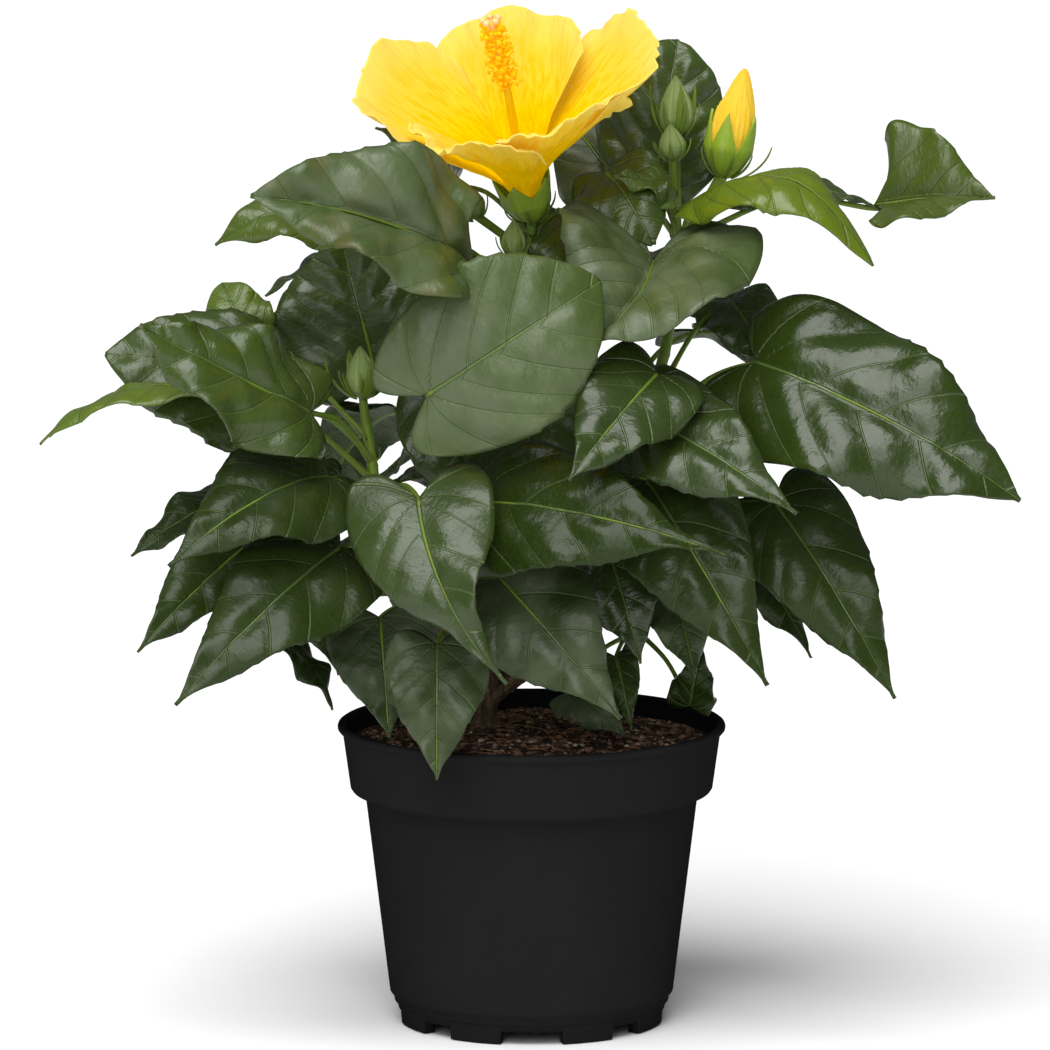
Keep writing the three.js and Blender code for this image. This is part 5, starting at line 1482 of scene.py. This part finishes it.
class HIBISCUS_OT_opening_bud(bpy.types.Operator):
    """Make the bud that is about to open: furled petals in a split calyx"""

    bl_idname = "hibiscus.opening_bud"
    bl_label = "Opening bud"

    def execute(self, context):
        looks = context.scene.hibiscus_looks
        base, axis, radius = np.array(OPENING_BUD["foot"], float), OPENING_BUD["axis"], OPENING_BUD["radius"]
        up = unit(axis)
        petals = Gathered()
        inside = 3.0  # how deep the petals stand in the calyx
        furled_petals(petals, base + up * inside, axis, radius * 0.9, OPENING_BUD["length"] - inside)
        yellow = shared("petal_furled", petal_finish, looks, 0.5, 1.0)
        settle(petals.piece("furled_petals", yellow), "petal", "opening_bud")
        cup = Gathered()
        open_calyx(cup, base, axis, radius, CALYX["height"] + 2, CALYX["lobe"] + 3, -0.6)
        settle(cup.piece("opening_calyx", calyx_green(looks)), "leaf")
        greens = Gathered()
        root = np.array(OPENING_BUD["stalk"])
        path = curve_points([root, mix(root, base, 0.5), base + up], 14)
        tube(greens, path, np.linspace(1.5, 2.1, 14), 12, 0, (0.95, 0.08, 0))
        bracts(greens, base, axis, 5.2, 7, 8.5, 0.4)
        bracts(greens, base, axis, 8.5, 1, 13, -0.3, 1.6)
        settle(greens.piece("opening_bud_stalk", shared("young_stem", stem_finish, looks)), "leaf")
        return {"FINISHED"}


class HIBISCUS_OT_bloom(bpy.types.Operator):
    """Make the open bloom: petals, calyx, column, anthers and stigmas"""

    bl_idname = "hibiscus.bloom"
    bl_label = "Open bloom"

    def execute(self, context):
        looks = context.scene.hibiscus_looks
        yellow = shared("petal_open", petal_finish, looks)
        seat, (up, side, _) = bloom_seat(), square_to(BLOOM_AXIS)
        petals = Gathered()
        for index in range(len(PETALS)):
            petal(petals, index, looks)
        neck = turned_about(seat, BLOOM_AXIS, [(-4, 3), (0, PETAL["throat"] - 0.4), (4, 5.4), (8, 6.2)], 40)
        ringed(petals, neck, 0, flat=(0, 3, 0))
        settle(petals.piece("open_petals", yellow), "petal", "bloom_petals")
        cup = Gathered()
        foot = np.array(BLOOM_FOOT, float)
        open_calyx(cup, foot, BLOOM_AXIS, CALYX["radius"], CALYX["height"] + 4, CALYX["lobe"] - 3.5, 2.0)
        settle(cup.piece("bloom_calyx", calyx_green(looks)), "leaf")
        greens = Gathered()
        bracts(greens, foot, BLOOM_AXIS, 5.6, 7, 8.0, 0.2)
        settle(greens.piece("bloom_bracts", shared("young_stem", stem_finish, looks)), "leaf")
        base = seat + up * (COLUMN["start"] + GAP)
        t = np.linspace(-0.1, 0.92, 40)
        path = base + up * (t * COLUMN["length"])[:, None] + side * (1.2 * np.sin(t * 2.6))[:, None]
        core = Gathered()
        tube(core, path, np.interp(t, [-0.1, 0.1, 0.5, 0.92], [2.3, 1.7, 1.35, 1.0]), 16)
        settle(core.piece("style_column", yellow), "petal", "bloom_column")
        band = Gathered()
        tube(band, path[t > COLUMN["anthers"]], 1.2, 16)
        host = band.piece("anther_host")
        made = made_by(scattered_tree("anthers", anther_shape), host, "anthers", Density=1900000.0,
                       Size=0.00105, Smallest=0.7, Largest=1.15, Seed=3, Upright=0.12,
                       Material=shared("pollen", anther_finish, looks))
        settle(made, "anther")
        tips = Gathered()
        start = path[-1]
        for turn in circle(COLUMN["stigmas"]) + 0.4:
            out = outward(BLOOM_AXIS, turn)
            arm = [start, start + up * 2.2 + out * 0.9, start + up * 4.2 + out * 2.7]
            tube(tips, curve_points(arm, 10), np.linspace(0.5, 0.42, 10), 8)
            ball = [(0.05, 0.4), (0.4, 0.95), (1.0, 1.25), (1.6, 0.95), (2.0, 0.4)]
            ringed(tips, turned_about(arm[-1] - up * 1.1, up, ball, 16))
        settle(tips.piece("stigmas", shared("stigma", stigma_finish, looks)), "anther")
        return {"FINISHED"}


class HIBISCUS_OT_stage(bpy.types.Operator):
    """Set the pale floor, the soft lights and the camera"""

    bl_idname = "hibiscus.stage"
    bl_label = "Studio"

    def execute(self, context):
        stage = context.scene.hibiscus_stage
        floor = Gathered()
        turn = circle(96)
        ringed(floor, np.array([[(r * math.cos(a), r * math.sin(a), z) for a in turn]
                                for r, z in ((9000, -20), (9000, -0.3), (3000, -0.3))]))
        nodes, close = finish_named("studio_floor", Specular_IOR_Level=0.1)
        tint = nodes.noise(nodes.object_place(), 2.0, 2.0)
        color = nodes.blend(nodes.times(tint, 0.04), stage.floor_color, (0.8, 0.8, 0.8))
        piece = floor.piece("studio_floor", close(color, 0.9))
        world = bpy.data.worlds.new("studio")
        context.scene.world = world
        world.use_nodes = True
        world.node_tree.nodes["Background"].inputs[0].default_value = rgb(stage.world_color)
        world.node_tree.nodes["Background"].inputs[1].default_value = stage.surround
        sky = bpy.data.lights.new("sky_light", "SUN")
        sky.energy, sky.angle = stage.sky_strength, stage.sky_width
        front = bpy.data.lights.new("front_light", "AREA")
        front.shape, front.size, front.energy = "DISK", stage.front_width, stage.front_power
        middle = Vector((0, 0, 0.18))
        for lamp, place in ((sky, (-0.35, -1.0, 2.5)), (front, (-0.3, -2.6, 1.4))):
            made = linked(lamp.name, lamp)
            made.location = place
            made.rotation_euler = (middle - Vector(place)).to_track_quat("-Z", "Y").to_euler()
        camera = bpy.data.cameras.new("camera")
        camera.lens, camera.sensor_width = stage.lens, 36
        camera.clip_start, camera.clip_end = 0.1, 50
        eye = linked("camera", camera)
        aim = Vector((-0.0022, 0, 0.1677))
        back = Vector((0, -math.cos(stage.elevation), math.sin(stage.elevation)))
        eye.location = aim + back * stage.distance
        eye.rotation_euler = (-back).to_track_quat("-Z", "Y").to_euler()
        context.scene.camera = eye
        context.scene.view_settings.view_transform = "Standard"
        return {"FINISHED"}


class HIBISCUS_PT_build(bpy.types.Panel):
    """Operators and settings of the potted hibiscus"""

    bl_idname = "HIBISCUS_PT_build"
    bl_label = "Potted hibiscus"
    bl_space_type = "VIEW_3D"
    bl_region_type = "UI"
    bl_category = "Hibiscus"

    def draw(self, context):
        for kind in PIECES:
            self.layout.operator(kind.bl_idname)
        for name in GROUPS:
            box = self.layout.box()
            group = getattr(context.scene, name)
            for key in group.__annotations__:
                box.prop(group, key)


GROUPS = {"hibiscus_pot": PotSizes, "hibiscus_soil": SoilSizes, "hibiscus_looks": Looks,
          "hibiscus_stage": StageSizes}
PIECES = (HIBISCUS_OT_pot, HIBISCUS_OT_soil, HIBISCUS_OT_limbs, HIBISCUS_OT_shoots, HIBISCUS_OT_opening_bud,
          HIBISCUS_OT_bloom, HIBISCUS_OT_stage)


def register():
    for kind in (*GROUPS.values(), *PIECES, HIBISCUS_PT_build):
        bpy.utils.register_class(kind)
    for name, kind in GROUPS.items():
        setattr(bpy.types.Scene, name, PointerProperty(type=kind))


def unregister():
    for name in GROUPS:
        delattr(bpy.types.Scene, name)
    for kind in reversed((*GROUPS.values(), *PIECES, HIBISCUS_PT_build)):
        bpy.utils.unregister_class(kind)


def main():
    register()
    bpy.ops.hibiscus.pot()
    bpy.ops.hibiscus.soil()
    bpy.ops.hibiscus.limbs()
    bpy.ops.hibiscus.shoots()
    bpy.ops.hibiscus.opening_bud()
    bpy.ops.hibiscus.bloom()
    bpy.ops.hibiscus.stage()


if __name__ == "__main__":
    main()
